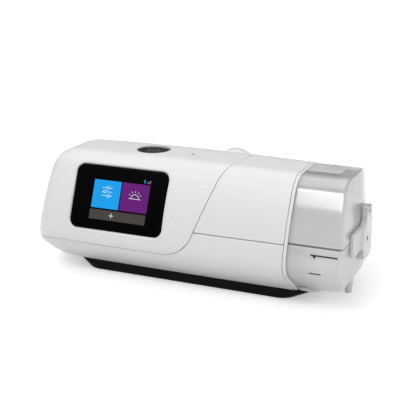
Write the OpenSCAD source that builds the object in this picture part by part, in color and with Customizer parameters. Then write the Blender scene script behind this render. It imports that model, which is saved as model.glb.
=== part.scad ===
// Bedside bilevel PAP machine with a slide-in humidifier tub.
// Frame: +X to the tub end, -Y to the screen side, +Z up.
// The origin lies on the floor under the middle of the machine.

/* [Casing] */
// Tip of the rounded left end of the casing
case_tip_x = -126.8; // [-136:0.5:-118]
// Plane where the casing ends and the tub bay opens
case_end_x = 85; // [84:0.5:88]
// Front-most line of the casing, at the belly
case_front_y = -69; // [-71:0.5:-68]
// Rear-most line of the casing, at the heel
case_rear_y = 64; // [63:0.5:68]
// Underside of the casing, which is the top of the base plate
floor_z = 8; // [7:0.1:9]
// Top of the casing profile at the tub bay
top_z = 93.5; // [92:0.5:97]
// Moulded wall of the casing shells
wall = 2.2; // [1.8:0.1:2.6]
// Open line between two casing shells
seam_gap = 0.4; // [0.2:0.05:0.6]
// Radius of the slight crown along the top
crown_r = 3000; // [2000:100:9000]
// Radius of the slight bow along the front
bow_r = 4000; // [3000:100:12000]
// Lean of the rounded left end, degrees
end_lean = 10; // [4:0.5:14]

/* [Seams] */
// Height of the long seam below the screen
low_seam_z = 31.8; // [30:0.2:34]
// Start of the S-shaped seam's bend
bend_x = -6; // [-10:0.5:-2]
// Radius of the S-shaped seam's bend
bend_r = 26; // [22:0.5:30]
// Slope of the S-shaped seam above its bend, degrees
bend_angle = 70; // [66:1:74]
// Rear seam, where the rear cover begins
rear_seam_y = 42; // [40:0.5:43]

/* [Screen] */
// Width of the screen glass
screen_w = 73.9; // [70:0.1:76]
// Height of the screen glass along its face
screen_h = 47; // [44:0.1:48]
// Corner radius of the screen glass
screen_r = 6; // [4:0.5:8]
// Thickness of the screen glass
glass_t = 2.1; // [1.5:0.1:2.4]
// Middle of the glass along the machine
screen_x = -42.6; // [-46:0.2:-40]
// Front-to-back place of the middle of the glass face
screen_y = -60.4; // [-61.5:0.1:-59.5]
// How far the middle of the glass face lies below the casing's top
screen_drop = 27.9; // [27:0.1:29]
// Lean of the glass from upright, degrees
screen_tilt = 22; // [20:0.5:24]
// Gap round the glass in its window
window_gap = 0.3; // [0.15:0.05:0.5]
// Depth of the display module behind the glass
module_t = 4; // [3:0.1:5]

/* [Start button] */
// Radius of the start button
button_r = 13.2; // [12:0.1:14]
// Running gap round the start button
button_gap = 0.35; // [0.3:0.05:0.5]
// Thickness of the button's disc
button_t = 2.6; // [2:0.1:3]
// Travel of the start button
button_travel = 1; // [0.6:0.1:1.2]
// Middle of the start button along the machine
button_x = -33; // [-36:0.5:-30]
// Middle of the start button from front to back
button_y = -23; // [-25:0.5:-22]
// How far the middle of the button stands over the casing's flat top
button_rise = 0.8; // [0.3:0.1:1.1]
// Backward slope of the button's top face, degrees
button_tilt = 3.5; // [2.5:0.5:4.5]

/* [Tub] */
// Clear gap between tub and bay on every side
tub_gap = 0.7; // [0.5:0.05:1]
// Wall of the tub and its lid
tub_wall = 2; // [1.6:0.1:2.2]
// Underside of the tub
tub_z = 12; // [11.9:0.1:12.3]
// How far the tub's rim, and the seam beside it, lie below the casing's top
rim_drop = 42.5; // [40:0.5:44]
// Height of the lid seal
seal_h = 1.2; // [1:0.1:1.6]
// Right-hand end of the tub
tub_end_x = 125; // [122:0.2:128]
// How far the visible part of the tub is set in from the casing's outline
tub_inset = 3; // [2.8:0.1:3.4]
// Wall of the bay liner
liner_wall = 1.6; // [1.3:0.1:1.8]
// Inner end of the tub bay
bay_x = 21; // [20:0.5:22]
// Plan radius of the tub's rear corner
tub_corner_r = 78; // [70:1:90]
// Lean of the lid's end face, degrees
lid_lean = 5; // [3:0.5:7]
// Radius of an air port between bay and lid
port_r = 7.5; // [6.5:0.1:8]

/* [Latch] */
// Middle of the latch from front to back
latch_y = -9.5; // [-12:0.5:-7]
// Width of the latch's lever
latch_w = 25; // [22:0.5:28]
// Lowest point of the latch's lever
latch_low_z = 26; // [24:0.5:30]
// How far the latch's pin lies above the lid's lower edge
latch_pin_rise = 13.8; // [12:0.2:15]
// Radius of the latch's pin
latch_pin_r = 1; // [0.8:0.05:1.2]
// Thickness of the latch's lever
latch_t = 3.6; // [3.2:0.1:4]

/* [Base] */
// Height of the rubber feet below the base plate
foot_h = 0.8; // [0.6:0.1:1]
// Radius of a rubber foot
foot_r = 6; // [5:0.5:7]
// Front edge of the base plate
base_front_y = -40.2; // [-42:0.2:-38]
// Rear edge of the base plate
base_rear_y = 56; // [55:0.5:57]
// Left end of the base plate's underside
base_left_x = -83.8; // [-88:0.2:-80]
// Right end of the base plate's underside
base_right_x = 84; // [80:0.5:86]

/* [Air outlet] */
// Outside radius of the outlet connector's cone, as a plain cylinder
outlet_r = 11; // [10.9:0.05:11.1]
// Bore radius of the outlet connector
outlet_bore_r = 9; // [8.5:0.1:9.4]
// Free end of the outlet connector
outlet_end_y = 70.1; // [68:0.1:72]
// Middle of the outlet along the machine
outlet_x = 3; // [1:0.5:5]
// How far the outlet's axis lies below the casing's top
outlet_drop = 30.5; // [29.4:0.1:31.4]
// Radius of the round boss that carries the outlet
boss_r = 17.5; // [17:0.1:19]

/* [Blower] */
// Middle of the blower along the machine
blower_x = -52; // [-54:0.5:-50]
// Middle of the blower from front to back
blower_y = 14; // [12:0.5:15]
// Outer radius of the blower casing
blower_r = 31; // [29:0.5:32]
// Wall of the blower casing
blower_wall = 2; // [1.5:0.1:2.2]
// Underside of the blower
blower_z = 16; // [15:0.5:17]
// Radius of the motor shaft
shaft_r = 2; // [1.5:0.1:2.5]
// Running gap between shaft and bearing
shaft_gap = 0.03; // [0.02:0.01:0.08]
// Radius of the impeller
impeller_r = 25; // [22:0.5:26]
// Number of impeller blades
blade_count = 11; // [7:1:15]

/* [Hidden] */
$fn = 64;

white = "gainsboro";
far = 200;
slack = 0.1;
button_z = top_z + button_rise;
screen_z = top_z - screen_drop;
rim_z = top_z - rim_drop;
mid_seam_z = rim_z;
lid_low_z = rim_z + seal_h;
outlet_z = top_z - outlet_drop;

// Corners of the casing's profile, seen from the tub end as [y, z], from front foot to rear foot
front_foot_y = -39.8;
belly_low_z = 30.2;
belly_high_z = 42.8;
knee = [case_front_y + 6.4, top_z - 29.7];
brow_y = case_front_y + 22.25;
crest_y = -10.6;
tail_z = top_z - 21.4;
tail_back = 3;
heel_z = 20;
heel_in = 7;
profile_corners = [
    [front_foot_y, floor_z],
    [case_front_y, belly_low_z],
    [case_front_y, belly_high_z],
    knee,
    [brow_y, top_z],
    [crest_y, top_z],
    [case_rear_y - tail_back, tail_z],
    [case_rear_y, heel_z],
    [case_rear_y - heel_in, floor_z]
];
// Rounding radius of each profile corner
profile_radii = [3, 15, 34, 90, 19.5, 102, 13, 14, 5];
// Segments of the rounding at each profile corner
profile_steps = [2, 4, 3, 3, 6, 5, 4, 3, 3];

// How the section shrinks into the rounded left end: length and exponent for top, underside and sides
cap_top = [44, 3];
cap_low = [44, 1.6];
cap_side = [26, 2];
cap_mid_y = 15;
cap_mid_z = 16;
lean_from_z = 30;
lean_length = 45;
crown_mid_x = -10;
cap_rings = 9;
straight_rings = 6;

function unit(v) = v / norm(v);
function cross2(a, b) = a[0] * b[1] - a[1] * b[0];
function wrap(a) = let (b = (a + 540) % 360) b - 180;
function limit01(t) = min(max(t, 0), 1);

// Point where the line through p along u meets the line through q along v
function meet(p, u, q, v) = p + u * (cross2(q - p, v) / cross2(u, v));

// Half of the angle at corner p between neighbours a and b
function half_angle(a, p, b) = acos(unit(a - p) * unit(b - p)) / 2;

// Arc that rounds corner p between neighbours a and b
function rounded(a, p, b, r, n) =
    let (
        u = unit(a - p),
        v = unit(b - p),
        half = half_angle(a, p, b),
        c = p + unit(u + v) * (r / sin(half)),
        s = p + u * (r / tan(half)) - c,
        e = p + v * (r / tan(half)) - c,
        from = atan2(s[1], s[0]),
        turn = wrap(atan2(e[1], e[0]) - from)
    )
    [for (k = [0:n]) c + r * [cos(from + turn * k / n), sin(from + turn * k / n)]];

// The profile's edge i, moved inwards by d; the bottom edge is set at height low_z instead
function edge_start(i, d, low_z) =
    let (
        count = len(profile_corners),
        p = profile_corners[i],
        u = unit(profile_corners[(i + 1) % count] - p)
    )
    i == count - 1 ? [p[0], low_z] : p + d * [u[1], -u[0]];
function edge_way(i) =
    let (count = len(profile_corners))
    unit(profile_corners[(i + 1) % count] - profile_corners[i]);
function corner_in(i, d, low_z) =
    let (before = (i + len(profile_corners) - 1) % len(profile_corners))
    meet(edge_start(before, d, low_z), edge_way(before), edge_start(i, d, low_z), edge_way(i));

// Outline [y, z] of a section that lies d inside the casing, with its underside at low_z. A corner's
// rounding keeps to what the rounding before it leaves of the edge between them.
function section(d, low_z) =
    let (
        n = len(profile_corners),
        c = [for (i = [0:n - 1]) corner_in(i, d, low_z)],
        half = [for (i = [0:n - 1]) half_angle(c[(i + n - 1) % n], c[i], c[(i + 1) % n])],
        r = [for (p = profile_radii) max(p - d, 0.6)]
    )
    [for (i = [0:n - 1])
        let (
            before = (i + n - 1) % n,
            room = norm(c[i] - c[before]) - r[before] / tan(half[before])
        )
        each rounded(c[before], c[i], c[(i + 1) % n], min(r[i], room * tan(half[i])), profile_steps[i])];

// Share of the full section that is left at x in the rounded end
function shrink(x, d, cap) =
    let (t = limit01((case_tip_x + cap[0] - x) / (cap[0] - d)))
    pow(1 - pow(t, cap[1]), 1 / cap[1]);

// Lift of the crown and push of the bow at x, both nil at the tub bay's mouth
function swell(x, r) = (pow(case_end_x - crown_mid_x, 2) - pow(x - crown_mid_x, 2)) / (2 * r);

// A profile point [y, z] placed at x, with the rounded end, the lean, the crown and the bow
function skin_point(x, p, d) =
    let (
        side = shrink(x, d, cap_side),
        up = shrink(x, d, p[1] > cap_mid_z ? cap_top : cap_low),
        y = cap_mid_y + (p[0] - cap_mid_y) * side,
        z = cap_mid_z + (p[1] - cap_mid_z) * up,
        lean = tan(end_lean) * pow(limit01((case_tip_x + lean_length - x) / lean_length), 2),
        high = limit01((p[1] - floor_z - d) / (top_z - floor_z)),
        fore = limit01(p[0] / case_front_y)
    )
    [x + lean * (z - lean_from_z), y - swell(x, bow_r) * fore * side, z + swell(x, crown_r) * high * up];

// Places of the rings along the casing, from the left end to last_x
function ring_places(d, last_x) =
    let (
        tip = case_tip_x + d,
        reach = cap_top[0] - d,
        start = tip + reach
    )
    [
        for (k = [1:cap_rings]) tip + reach * (1 - cos(90 * k / cap_rings)),
        for (k = [1:straight_rings]) start + (last_x - start) * k / straight_rings
    ];

// Closed form of the casing, d inside its outer skin
module casing_form(d, last_x) {
    outline = section(d, floor_z + d);
    places = ring_places(d, last_x);
    n = len(outline);
    rings = len(places);
    tip = skin_point(case_tip_x + d, [cap_mid_y, cap_mid_z], d);
    points = concat([for (x = places) each [for (p = outline) skin_point(x, p, d)]], [tip]);
    sides = [
        for (k = [0:rings - 2], i = [0:n - 1])
            let (a = k * n + i, b = k * n + (i + 1) % n)
            each [[a, b, b + n], [a, b + n, a + n]]
    ];
    nose = [for (i = [0:n - 1]) [rings * n, (i + 1) % n, i]];
    end = [[for (i = [0:n - 1]) (rings - 1) * n + i]];
    polyhedron(points = points, faces = concat(sides, nose, end), convexity = 4);
}

// The whole casing as one open shell, before it is split at its seams
module casing_shell() {
    difference() {
        casing_form(0, case_end_x);
        casing_form(wall, case_end_x + 1);
    }
}

// A flat outline [x, z] made solid from y0 to y1
module along_y(y0, y1) {
    translate([0, y1, 0]) rotate([90, 0, 0]) linear_extrude(y1 - y0) children();
}

// A flat outline [y, z] made solid from x0 to x1
module along_x(x0, x1) {
    translate([x0, 0, 0]) rotate([90, 0, 90]) linear_extrude(x1 - x0) children();
}

// A box from its low corner to its high corner
module block(low, high) {
    translate(low) cube(high - low);
}

// A flat plate with round corners, centred, from z = 0 up
module round_plate(w, h, r, t) {
    linear_extrude(t) {
        square([w - 2 * r, h], center = true);
        square([w, h - 2 * r], center = true);
        for (x = [-1, 1], y = [-1, 1])
            translate([x * (w / 2 - r), y * (h / 2 - r)]) circle(r);
    }
}

module tube(outer, inner, h) {
    difference() {
        cylinder(r = outer, h = h);
        translate([0, 0, -1]) cylinder(r = inner, h = h + 2);
    }
}

// The S-shaped seam in the front view, moved by o into the fascia
bend_steps = 8;
function bend_curve(o) = [for (k = [0:bend_steps])
    let (a = bend_angle * k / bend_steps)
    [bend_x + (bend_r - o) * sin(a), low_seam_z + bend_r - (bend_r - o) * cos(a)]];
function bend_line(o, z) =
    let (p = bend_curve(o)[bend_steps])
    [p[0] + (z - p[1]) / tan(bend_angle), z];

// The same seam over the top, in the plan view
over_y = -46;
half_gap = seam_gap / 2;
over_top = [[35, over_y], [38, -30], [40, -10], [42, rear_seam_y - half_gap]];
function over_curve(o) = [for (p = over_top) [p[0] - o, p[1]]];

module fascia_zone() {
    along_y(-far, over_y) polygon(concat(
        [[-far, far], [-far, low_seam_z + half_gap]], bend_curve(half_gap), [bend_line(half_gap, far)]));
    translate([0, 0, low_seam_z + half_gap]) linear_extrude(far) polygon(concat(
        [[-far, rear_seam_y - half_gap], [-far, over_y]], over_curve(half_gap)));
}

module side_panel_zone() {
    along_y(-far, over_y) polygon([
        bend_line(-half_gap, mid_seam_z + half_gap), bend_line(-half_gap, far), [far, far],
        [far, mid_seam_z + half_gap]]);
    translate([0, 0, mid_seam_z + half_gap]) linear_extrude(far) polygon(concat(
        over_curve(-half_gap), [[far, rear_seam_y - half_gap], [far, over_y]]));
}

module lower_zone() {
    along_y(-far, over_y) polygon(concat(
        [[-far, -far], [-far, low_seam_z - half_gap]], bend_curve(-half_gap),
        [bend_line(-half_gap, mid_seam_z - half_gap), [far, mid_seam_z - half_gap], [far, -far]]));
    block([-far, over_y, -far], [far, far, low_seam_z - half_gap]);
}

// The screen's own frame: x across, y up the face, z out of the face
module at_screen() {
    translate([screen_x, screen_y, screen_z]) rotate([90 - screen_tilt, 0, 0]) children();
}

// The start button's own frame, z out of its top face
module at_button() {
    translate([button_x, button_y, button_z]) rotate([-button_tilt, 0, 0]) children();
}

glass_sink = 0.3;
window_depth = 14;
module screen_window() {
    grow = 2 * window_gap;
    at_screen() translate([0, 0, -window_depth])
        round_plate(screen_w + grow, screen_h + grow, screen_r + window_gap, 2 * window_depth);
}

// Top board under the start button
board_t = 1.6;
top_board_z = top_z - 9.5;
top_board_low = [-64, -40];
top_board_high = [11, -6];
board_post_r = 3;
board_post_top = top_z - 0.3;
board_posts = [[-59, -35], [-59, -11], [7, -35], [7, -11]];
screw_hole_r = 1;

module on_top_board(p) {
    translate([p[0], p[1], top_board_z + board_t]) children();
}

// Light sensor behind the start button
lens_x = 0;
lens_r = 1.2;
lens_top_z = top_z + 1.2;

// Memory card door on the left end
card_door_y = [6, 34];
card_door_z = [36, 50];
card_door_x = -108;
door_gap = 0.35;

module card_door_zone(g) {
    block([-far, card_door_y[0] + g, card_door_z[0] + g],
        [card_door_x, card_door_y[1] - g, card_door_z[1] - g]);
}

// Screws through the base plate, the bosses that they enter, and the posts above the bosses
fascia_posts = [[-78, -26], [15.5, -30]];
cover_post = [-30, 50];
screw_places = concat(fascia_posts, [cover_post, [-78, 49]]);
screw_r = 1.5;
screw_head_r = 3.2;
screw_head_h = 2;
screw_low_z = 1.4;
screw_top_z = 26;
screw_boss_r = 3.8;
boss_top_z = 18;
thread_gap = 0.05;

module post_above(p, top) {
    translate([p[0], p[1], boss_top_z]) difference() {
        cylinder(r = screw_boss_r, h = top - boss_top_z);
        translate([0, 0, -1]) cylinder(r = screw_r + thread_gap, h = screw_top_z - boss_top_z + 3);
    }
}

module fascia() {
    color(white) {
        difference() {
            intersection() {
                casing_shell();
                fascia_zone();
            }
            screen_window();
            at_button() translate([0, 0, -6]) cylinder(r = button_r + button_gap, h = 12);
            translate([lens_x, button_y, top_board_z]) cylinder(r = lens_r + window_gap, h = 20);
            card_door_zone(0);
        }
        for (p = board_posts) on_top_board(p)
            cylinder(r = board_post_r, h = board_post_top - top_board_z - board_t);
        for (p = fascia_posts) post_above(p, board_post_top);
    }
}

module side_panel() {
    color(white) intersection() {
        casing_shell();
        side_panel_zone();
    }
}

// Lip of the lower housing that carries the visible part of the tub
lip_end_x = 104;
lip_y = [-34, 40];
lip_top_z = 11.4;
lip_r = 8;
lip_reach = lip_end_x - case_end_x + slack;
lip_w = lip_y[1] - lip_y[0];

// Power inlet in the rear wall
inlet_x = [-21, -7];
inlet_z = [18.4, 29.6];
inlet_y = 48;

// Window in the floors of housing and liner, where the heater sits
heater_x = [33, 81];
heater_y = [-26, 32];
heater_gap = 0.6;
heater_top_z = tub_z - 0.3;
heater_plate_t = 1.3;
heater_element_t = 1;

// Memory card, its slot and the posts that carry it
card_y = [8, 32];
card_z = [41, 43.1];
slot_x = [-112, blower_x - blower_r - 1.4];
card_x = [slot_x[0] - 6, slot_x[1] - 1.6];
slot_low_t = 2.4;
slot_high_t = 1.6;
card_stop_l = 10;
// Posts of the lower housing that carry the card slot, as [x, start height]
card_posts = [[-104, 10.6], [-90, 10]];

module heater_window(low, high) {
    block([heater_x[0] - heater_gap, heater_y[0] - heater_gap, low],
        [heater_x[1] + heater_gap, heater_y[1] + heater_gap, high]);
}

module lower_housing() {
    color(white) {
        difference() {
            intersection() {
                casing_shell();
                lower_zone();
            }
            heater_window(0, 20);
            block([inlet_x[0] - slack, inlet_y + 10, inlet_z[0] - slack],
                [inlet_x[1] + slack, far, inlet_z[1] + slack]);
            for (p = screw_places) translate([p[0], p[1], 0]) cylinder(r = screw_r + thread_gap, h = 30);
        }
        for (p = screw_places) translate([p[0], p[1], floor_z + wall / 2])
            tube(screw_boss_r, screw_r + thread_gap, boss_top_z - floor_z - wall / 2);
        for (p = card_posts) translate([p[0], (card_y[0] + card_y[1]) / 2, p[1]])
            cylinder(r = 3, h = card_z[0] - slot_low_t - p[1]);
        translate([case_end_x - slack, 0, floor_z]) linear_extrude(lip_top_z - floor_z)
            difference() {
                union() {
                    translate([0, lip_y[0]]) square([lip_reach - lip_r, lip_w]);
                    translate([0, lip_y[0] + lip_r]) square([lip_reach, lip_w - 2 * lip_r]);
                    for (y = [lip_y[0] + lip_r, lip_y[1] - lip_r])
                        translate([lip_reach - lip_r, y]) circle(lip_r);
                }
                translate([-2 * lip_r, lip_y[0] - 1]) square([2 * lip_r, lip_w + 2]);
            }
    }
}

// Filter door in the rear wall
filter_door_x = [-98, -50];
filter_door_z = [low_seam_z + 7.2, top_z - 33.5];
filter_door_w = filter_door_x[1] - filter_door_x[0];
vent_count = 7;
vent_w = 1.6;
vent_h = filter_door_z[1] - filter_door_z[0] - 10;
rear_deep_y = 50;

// Hinge of the filter door, along the machine at the door's upper edge
barrel_r = 1.5;
filter_pin_r = 0.6;
lug_w = 3;
filter_hinge_y = 60.2;
filter_hinge_z = filter_door_z[1] - door_gap - barrel_r;
cover_post_top = tail_z + 1.4;

module filter_axis(x, length, r) {
    translate([x, filter_hinge_y, filter_hinge_z]) rotate([0, 90, 0]) cylinder(r = r, h = length);
}
module filter_pin(g) {
    reach = lug_w - 0.5 + g;
    filter_axis(filter_door_x[0] - reach, filter_door_w + 2 * reach, filter_pin_r + g);
}

module filter_door_zone(g) {
    block([filter_door_x[0] + g, rear_deep_y, filter_door_z[0] + g],
        [filter_door_x[1] - g, far, filter_door_z[1] - g]);
}

// Bore of the outlet boss
boss_bore_r = 13.35;
boss_front_y = 48;
boss_rear_y = 61.5;

module outlet_axis(y) {
    translate([outlet_x, y, outlet_z]) rotate([-90, 0, 0]) children();
}

module rear_cover() {
    color(white) difference() {
        union() {
            intersection() {
                casing_shell();
                block([-far, rear_seam_y + half_gap, low_seam_z + half_gap], [far, far, far]);
            }
            outlet_axis(boss_front_y) cylinder(r = boss_r, h = boss_rear_y - boss_front_y);
            post_above(cover_post, cover_post_top);
            for (x = [filter_door_x[0] - lug_w, filter_door_x[1]])
                block([x, filter_hinge_y - 1.6, filter_hinge_z - 3],
                    [x + lug_w, filter_hinge_y + 0.8, filter_hinge_z + 2]);
        }
        outlet_axis(boss_front_y - 1) cylinder(r = boss_bore_r, h = 30);
        filter_door_zone(0);
        filter_pin(0.03);
    }
}

trim_x = [case_end_x, case_end_x + 2.2];
trim_in = [0.35, 2.7];

module bay_trim_ring() {
    color("white") difference() {
        along_x(trim_x[0], trim_x[1]) difference() {
            polygon(section(trim_in[0], floor_z + trim_in[0]));
            polygon(section(trim_in[1], floor_z + trim_in[1]));
        }
        block([case_end_x - 1, lip_y[0] - slack, 0], [case_end_x + 9, lip_y[1] + slack, 14]);
    }
}

liner_in = wall + 0.5;
liner_floor_z = floor_z + wall;
liner_end_x = case_end_x - 0.4;
port_y = [-4, 38];
port_z = [outlet_z + 1, outlet_z];
seal_wall = 1.6;

module at_port(i, x) {
    translate([x, port_y[i], port_z[i]]) rotate([0, 90, 0]) children();
}

module bay_liner() {
    color("whitesmoke") difference() {
        along_x(bay_x, liner_end_x) polygon(section(liner_in, liner_floor_z));
        along_x(bay_x + liner_wall, liner_end_x + 1)
            polygon(section(liner_in + liner_wall, liner_floor_z + 1.2));
        for (i = [0, 1]) at_port(i, bay_x - 1) cylinder(r = port_r + seal_wall + slack, h = liner_wall + 2);
        heater_window(0, 20);
    }
}

// Base plate: a moulded tray with slanted ends and ribs under it
base_top_t = 2.2;
base_skirt = 3;
base_slant_left = 9.2;
base_slant_right = 12;
base_lip_t = 1.8;
rib_pitch = 21;
rib_t = 2;
base_r = 12;
foot_places = [[-68, -28], [-68, 40], [70, -28], [70, 40]];
foot_pocket = 1.5;
base_l = base_right_x - base_left_x;
base_w = base_rear_y - base_front_y;

module at_places(places, z) {
    for (p = places) translate([p[0], p[1], z]) children();
}

module base_outline() {
    left = base_left_x - base_slant_left;
    right = base_right_x + base_slant_right;
    intersection() {
        along_y(base_front_y, base_rear_y) polygon([
            [base_left_x, foot_h], [base_right_x, foot_h], [right, floor_z - base_lip_t], [right, floor_z],
            [left, floor_z]]);
        translate([(left + right) / 2, (base_front_y + base_rear_y) / 2, 0])
            round_plate(right - left, base_w, base_r, floor_z + 1);
    }
}

module base_plate() {
    color([0.11, 0.1, 0.1]) difference() {
        union() {
            difference() {
                base_outline();
                linear_extrude(floor_z - base_top_t) difference() {
                    translate([base_left_x + base_skirt, base_front_y + base_skirt])
                        square([base_l - 2 * base_skirt, base_w - 2 * base_skirt]);
                    for (x = [base_left_x + rib_pitch:rib_pitch:base_right_x - base_skirt])
                        translate([x, -far]) square([rib_t, 2 * far]);
                    for (y = [base_front_y + rib_pitch:rib_pitch:base_rear_y - base_skirt])
                        translate([-far, y]) square([2 * far, rib_t]);
                }
            }
            at_places(foot_places, foot_h) cylinder(r = foot_r + 2, h = floor_z - foot_h - 1);
            at_places(screw_places, foot_h) cylinder(r = screw_head_r + 1.6, h = floor_z - foot_h - 1);
        }
        at_places(foot_places, 0) cylinder(r = foot_r + slack, h = foot_h + foot_pocket);
        at_places(screw_places, 0) cylinder(r = screw_head_r + slack, h = screw_low_z + screw_head_h);
        at_places(screw_places, 0) cylinder(r = screw_r + slack, h = 20);
    }
}

module rubber_feet() {
    color("dimgray") at_places(foot_places, 0) cylinder(r = foot_r, h = foot_h + foot_pocket);
}

drive_r = 1.4;
drive_depth = 1.2;
module casing_screws() {
    color("silver") at_places(screw_places, screw_low_z) {
        difference() {
            cylinder(r = screw_head_r, h = screw_head_h);
            translate([0, 0, -1]) cylinder(r = drive_r, h = drive_depth + 1, $fn = 6);
        }
        translate([0, 0, screw_head_h]) cylinder(r = screw_r, h = screw_top_z - screw_low_z - screw_head_h);
    }
}

module screen_glass() {
    color("black") at_screen() translate([0, 0, -glass_sink - glass_t])
        round_plate(screen_w, screen_h, screen_r, glass_t);
}

module_w = 61;
module_h = 39;
frame_in = 0.4;
frame_t = 4.6;

module display_module() {
    color([0.05, 0.3, 0.5]) at_screen()
        translate([-module_w / 2, -module_h / 2, -glass_sink - glass_t - module_t])
            cube([module_w, module_h, module_t]);
}

module display_frame() {
    color("dimgray") at_screen() difference() {
        translate([0, 0, -glass_sink - glass_t - frame_t])
            round_plate(screen_w - 2 * frame_in, screen_h - 2 * frame_in, screen_r - frame_in, frame_t);
        translate([-module_w / 2 - window_gap, -module_h / 2 - window_gap, -20])
            cube([module_w + 2 * window_gap, module_h + 2 * window_gap, 20]);
    }
}

// Main board stands upright behind the display
main_board_y = -36;
main_board_x = [-100, 8];
main_board_z = [11.4, top_board_z - 5];

// Ribbon cable from the back of the display down to its socket on the main board
ribbon_half = 8;
ribbon_t = 0.4;
ribbon_start = [screen_y + 4.7, screen_z - 7.6];
ribbon_end = [main_board_y - slack, screen_z - 16];
module display_ribbon() {
    down = [0, ribbon_t];
    color("sienna") along_x(screen_x - ribbon_half, screen_x + ribbon_half)
        polygon([ribbon_start + down, ribbon_end + down, ribbon_end, ribbon_start]);
}

switch_h = 3.6;
switch_top_z = top_board_z + board_t + switch_h;
stem_r = 3;

module start_button() {
    stem_low = switch_top_z + button_travel + 0.15 - button_z;
    color([0.06, 0.06, 0.06]) at_button() {
        translate([0, 0, -button_t]) cylinder(r = button_r, h = button_t);
        translate([0, 0, stem_low]) cylinder(r = stem_r, h = -stem_low - slack);
    }
}

switch_half = 3;
switch_body_h = 2.6;
switch_knob_r = 1.7;
module button_switch() {
    color("darkslategray") on_top_board([button_x, button_y]) {
        block([-switch_half, -switch_half, 0], [switch_half, switch_half, switch_body_h]);
        cylinder(r = switch_knob_r, h = switch_h);
    }
}

guide_r = 11;
module button_light_guide() {
    guide_top = button_z - button_t - button_travel - 1.1;
    color("honeydew") on_top_board([button_x, button_y])
        tube(guide_r, guide_r - 1.5, guide_top - top_board_z - board_t);
}

module light_sensor_lens() {
    color("black") on_top_board([lens_x, button_y])
        cylinder(r = lens_r, h = lens_top_z - top_board_z - board_t);
}

// Chips under the top board, as [x from, y from, x to, y to, height]
top_parts = [
    [-20, -34, -8, -22, 1.4],
    [-52, -30, -42, -18, 2.2]
];

module top_board() {
    color("green") {
        difference() {
            block([top_board_low[0], top_board_low[1], top_board_z],
                [top_board_high[0], top_board_high[1], top_board_z + board_t]);
            at_places(board_posts, top_board_z - 1) cylinder(r = screw_hole_r, h = 4);
        }
        for (c = top_parts)
            block([c[0], c[1], top_board_z - c[4]], [c[2], c[3], top_board_z]);
    }
}

// Parts on the front of the main board, as [x from, z from, x to, z to, height]: processor, transformer
// and the ribbon's socket; and the power plug on its back
front_parts = [
    [-30, 24, -14, 40, 1.6],
    [-4, 26, 5, 44, 5],
    [screen_x - ribbon_half - 1, 44, screen_x + ribbon_half + 1, 49, 2]
];
plug_x = [-98, -86];
plug_z = [22, 36];
plug_h = 6;
capacitor_x = [-66, -54];
capacitor_z = 26;
capacitor_r = 4;
capacitor_h = 9;

module main_board() {
    back_y = main_board_y + board_t;
    color("green") {
        block([main_board_x[0], main_board_y, main_board_z[0]], [main_board_x[1], back_y, main_board_z[1]]);
        for (c = front_parts)
            block([c[0], main_board_y - c[4], c[1]], [c[2], main_board_y, c[3]]);
        block([plug_x[0], back_y, plug_z[0]], [plug_x[1], back_y + plug_h, plug_z[1]]);
        for (x = capacitor_x)
            translate([x, main_board_y, capacitor_z]) rotate([90, 0, 0])
                cylinder(r = capacitor_r, h = capacitor_h);
    }
}

clip_x = [-76, -10];
clip_half = 4;
clip_top_z = 20;

module board_clips() {
    color("gray") difference() {
        for (x = clip_x)
            block([x - clip_half, main_board_y - 1.6, floor_z + wall],
                [x + clip_half, main_board_y + board_t + 4, clip_top_z]);
        block([-far, main_board_y - slack, main_board_z[0] - slack],
            [far, main_board_y + board_t + slack, 2 * clip_top_z]);
    }
}

modem_x = [-99, -71];
modem_z = [36, 68];
modem_off = 6;

modem_t = 1.2;
shield_t = 2.2;
spacer_r = 1.6;
spacer_in = 3;

module modem_board() {
    back_y = main_board_y - modem_off;
    front_y = back_y - modem_t;
    color("darkgreen") {
        block([modem_x[0], front_y, modem_z[0]], [modem_x[1], back_y, modem_z[1]]);
        block([modem_x[0] + 4, front_y - shield_t, modem_z[0] + 5],
            [modem_x[1] - 4, front_y, modem_z[1] - 8]);
        for (x = [modem_x[0] + spacer_in, modem_x[1] - spacer_in])
            for (z = [modem_z[0] + spacer_in, modem_z[1] - spacer_in])
                translate([x, main_board_y, z]) rotate([90, 0, 0]) cylinder(r = spacer_r, h = modem_off);
    }
}

// Blower heights
blower_split_z = 33;
blower_top_z = 46;
hub_top_z = 30;
hub_r = 7.5;
hub_bore_r = 5;
bearing_h = 4;
bearing_z = [blower_z + blower_wall, hub_top_z - bearing_h];
shaft_low_z = bearing_z[0] + 0.6;
shaft_top_z = 42.5;
rotor_in_r = 14.2;
rotor_out_r = 16.2;
rotor_z = [20, 32];
rotor_top_t = 1.5;
impeller_z = [rotor_z[1], 42.5];
impeller_hub_r = 5;
impeller_disc_t = 1.4;
blade_t = 1.2;
blade_root = 0.6;
blade_short = 0.8;
blade_sweep = 24;
press_gap = 0.02;
inlet_r = 13;
inlet_collar_top_z = 50;
nozzle_y = [-12, 4];
nozzle_end_x = -20;
nozzle_wall = 1.6;

module at_blower(z) {
    translate([blower_x, blower_y, z]) children();
}

module blower_lower() {
    color("lightgray") {
        difference() {
            at_blower(blower_z) cylinder(r = blower_r, h = blower_split_z - blower_z);
            at_blower(blower_z + blower_wall) cylinder(r = blower_r - blower_wall, h = 40);
        }
        at_blower(blower_z + blower_wall) tube(hub_r, hub_bore_r, hub_top_z - blower_z - blower_wall);
        at_blower(bearing_z[0] + bearing_h)
            tube(hub_bore_r + 1, hub_bore_r - 0.8, bearing_z[1] - bearing_z[0] - bearing_h);
    }
}

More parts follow.
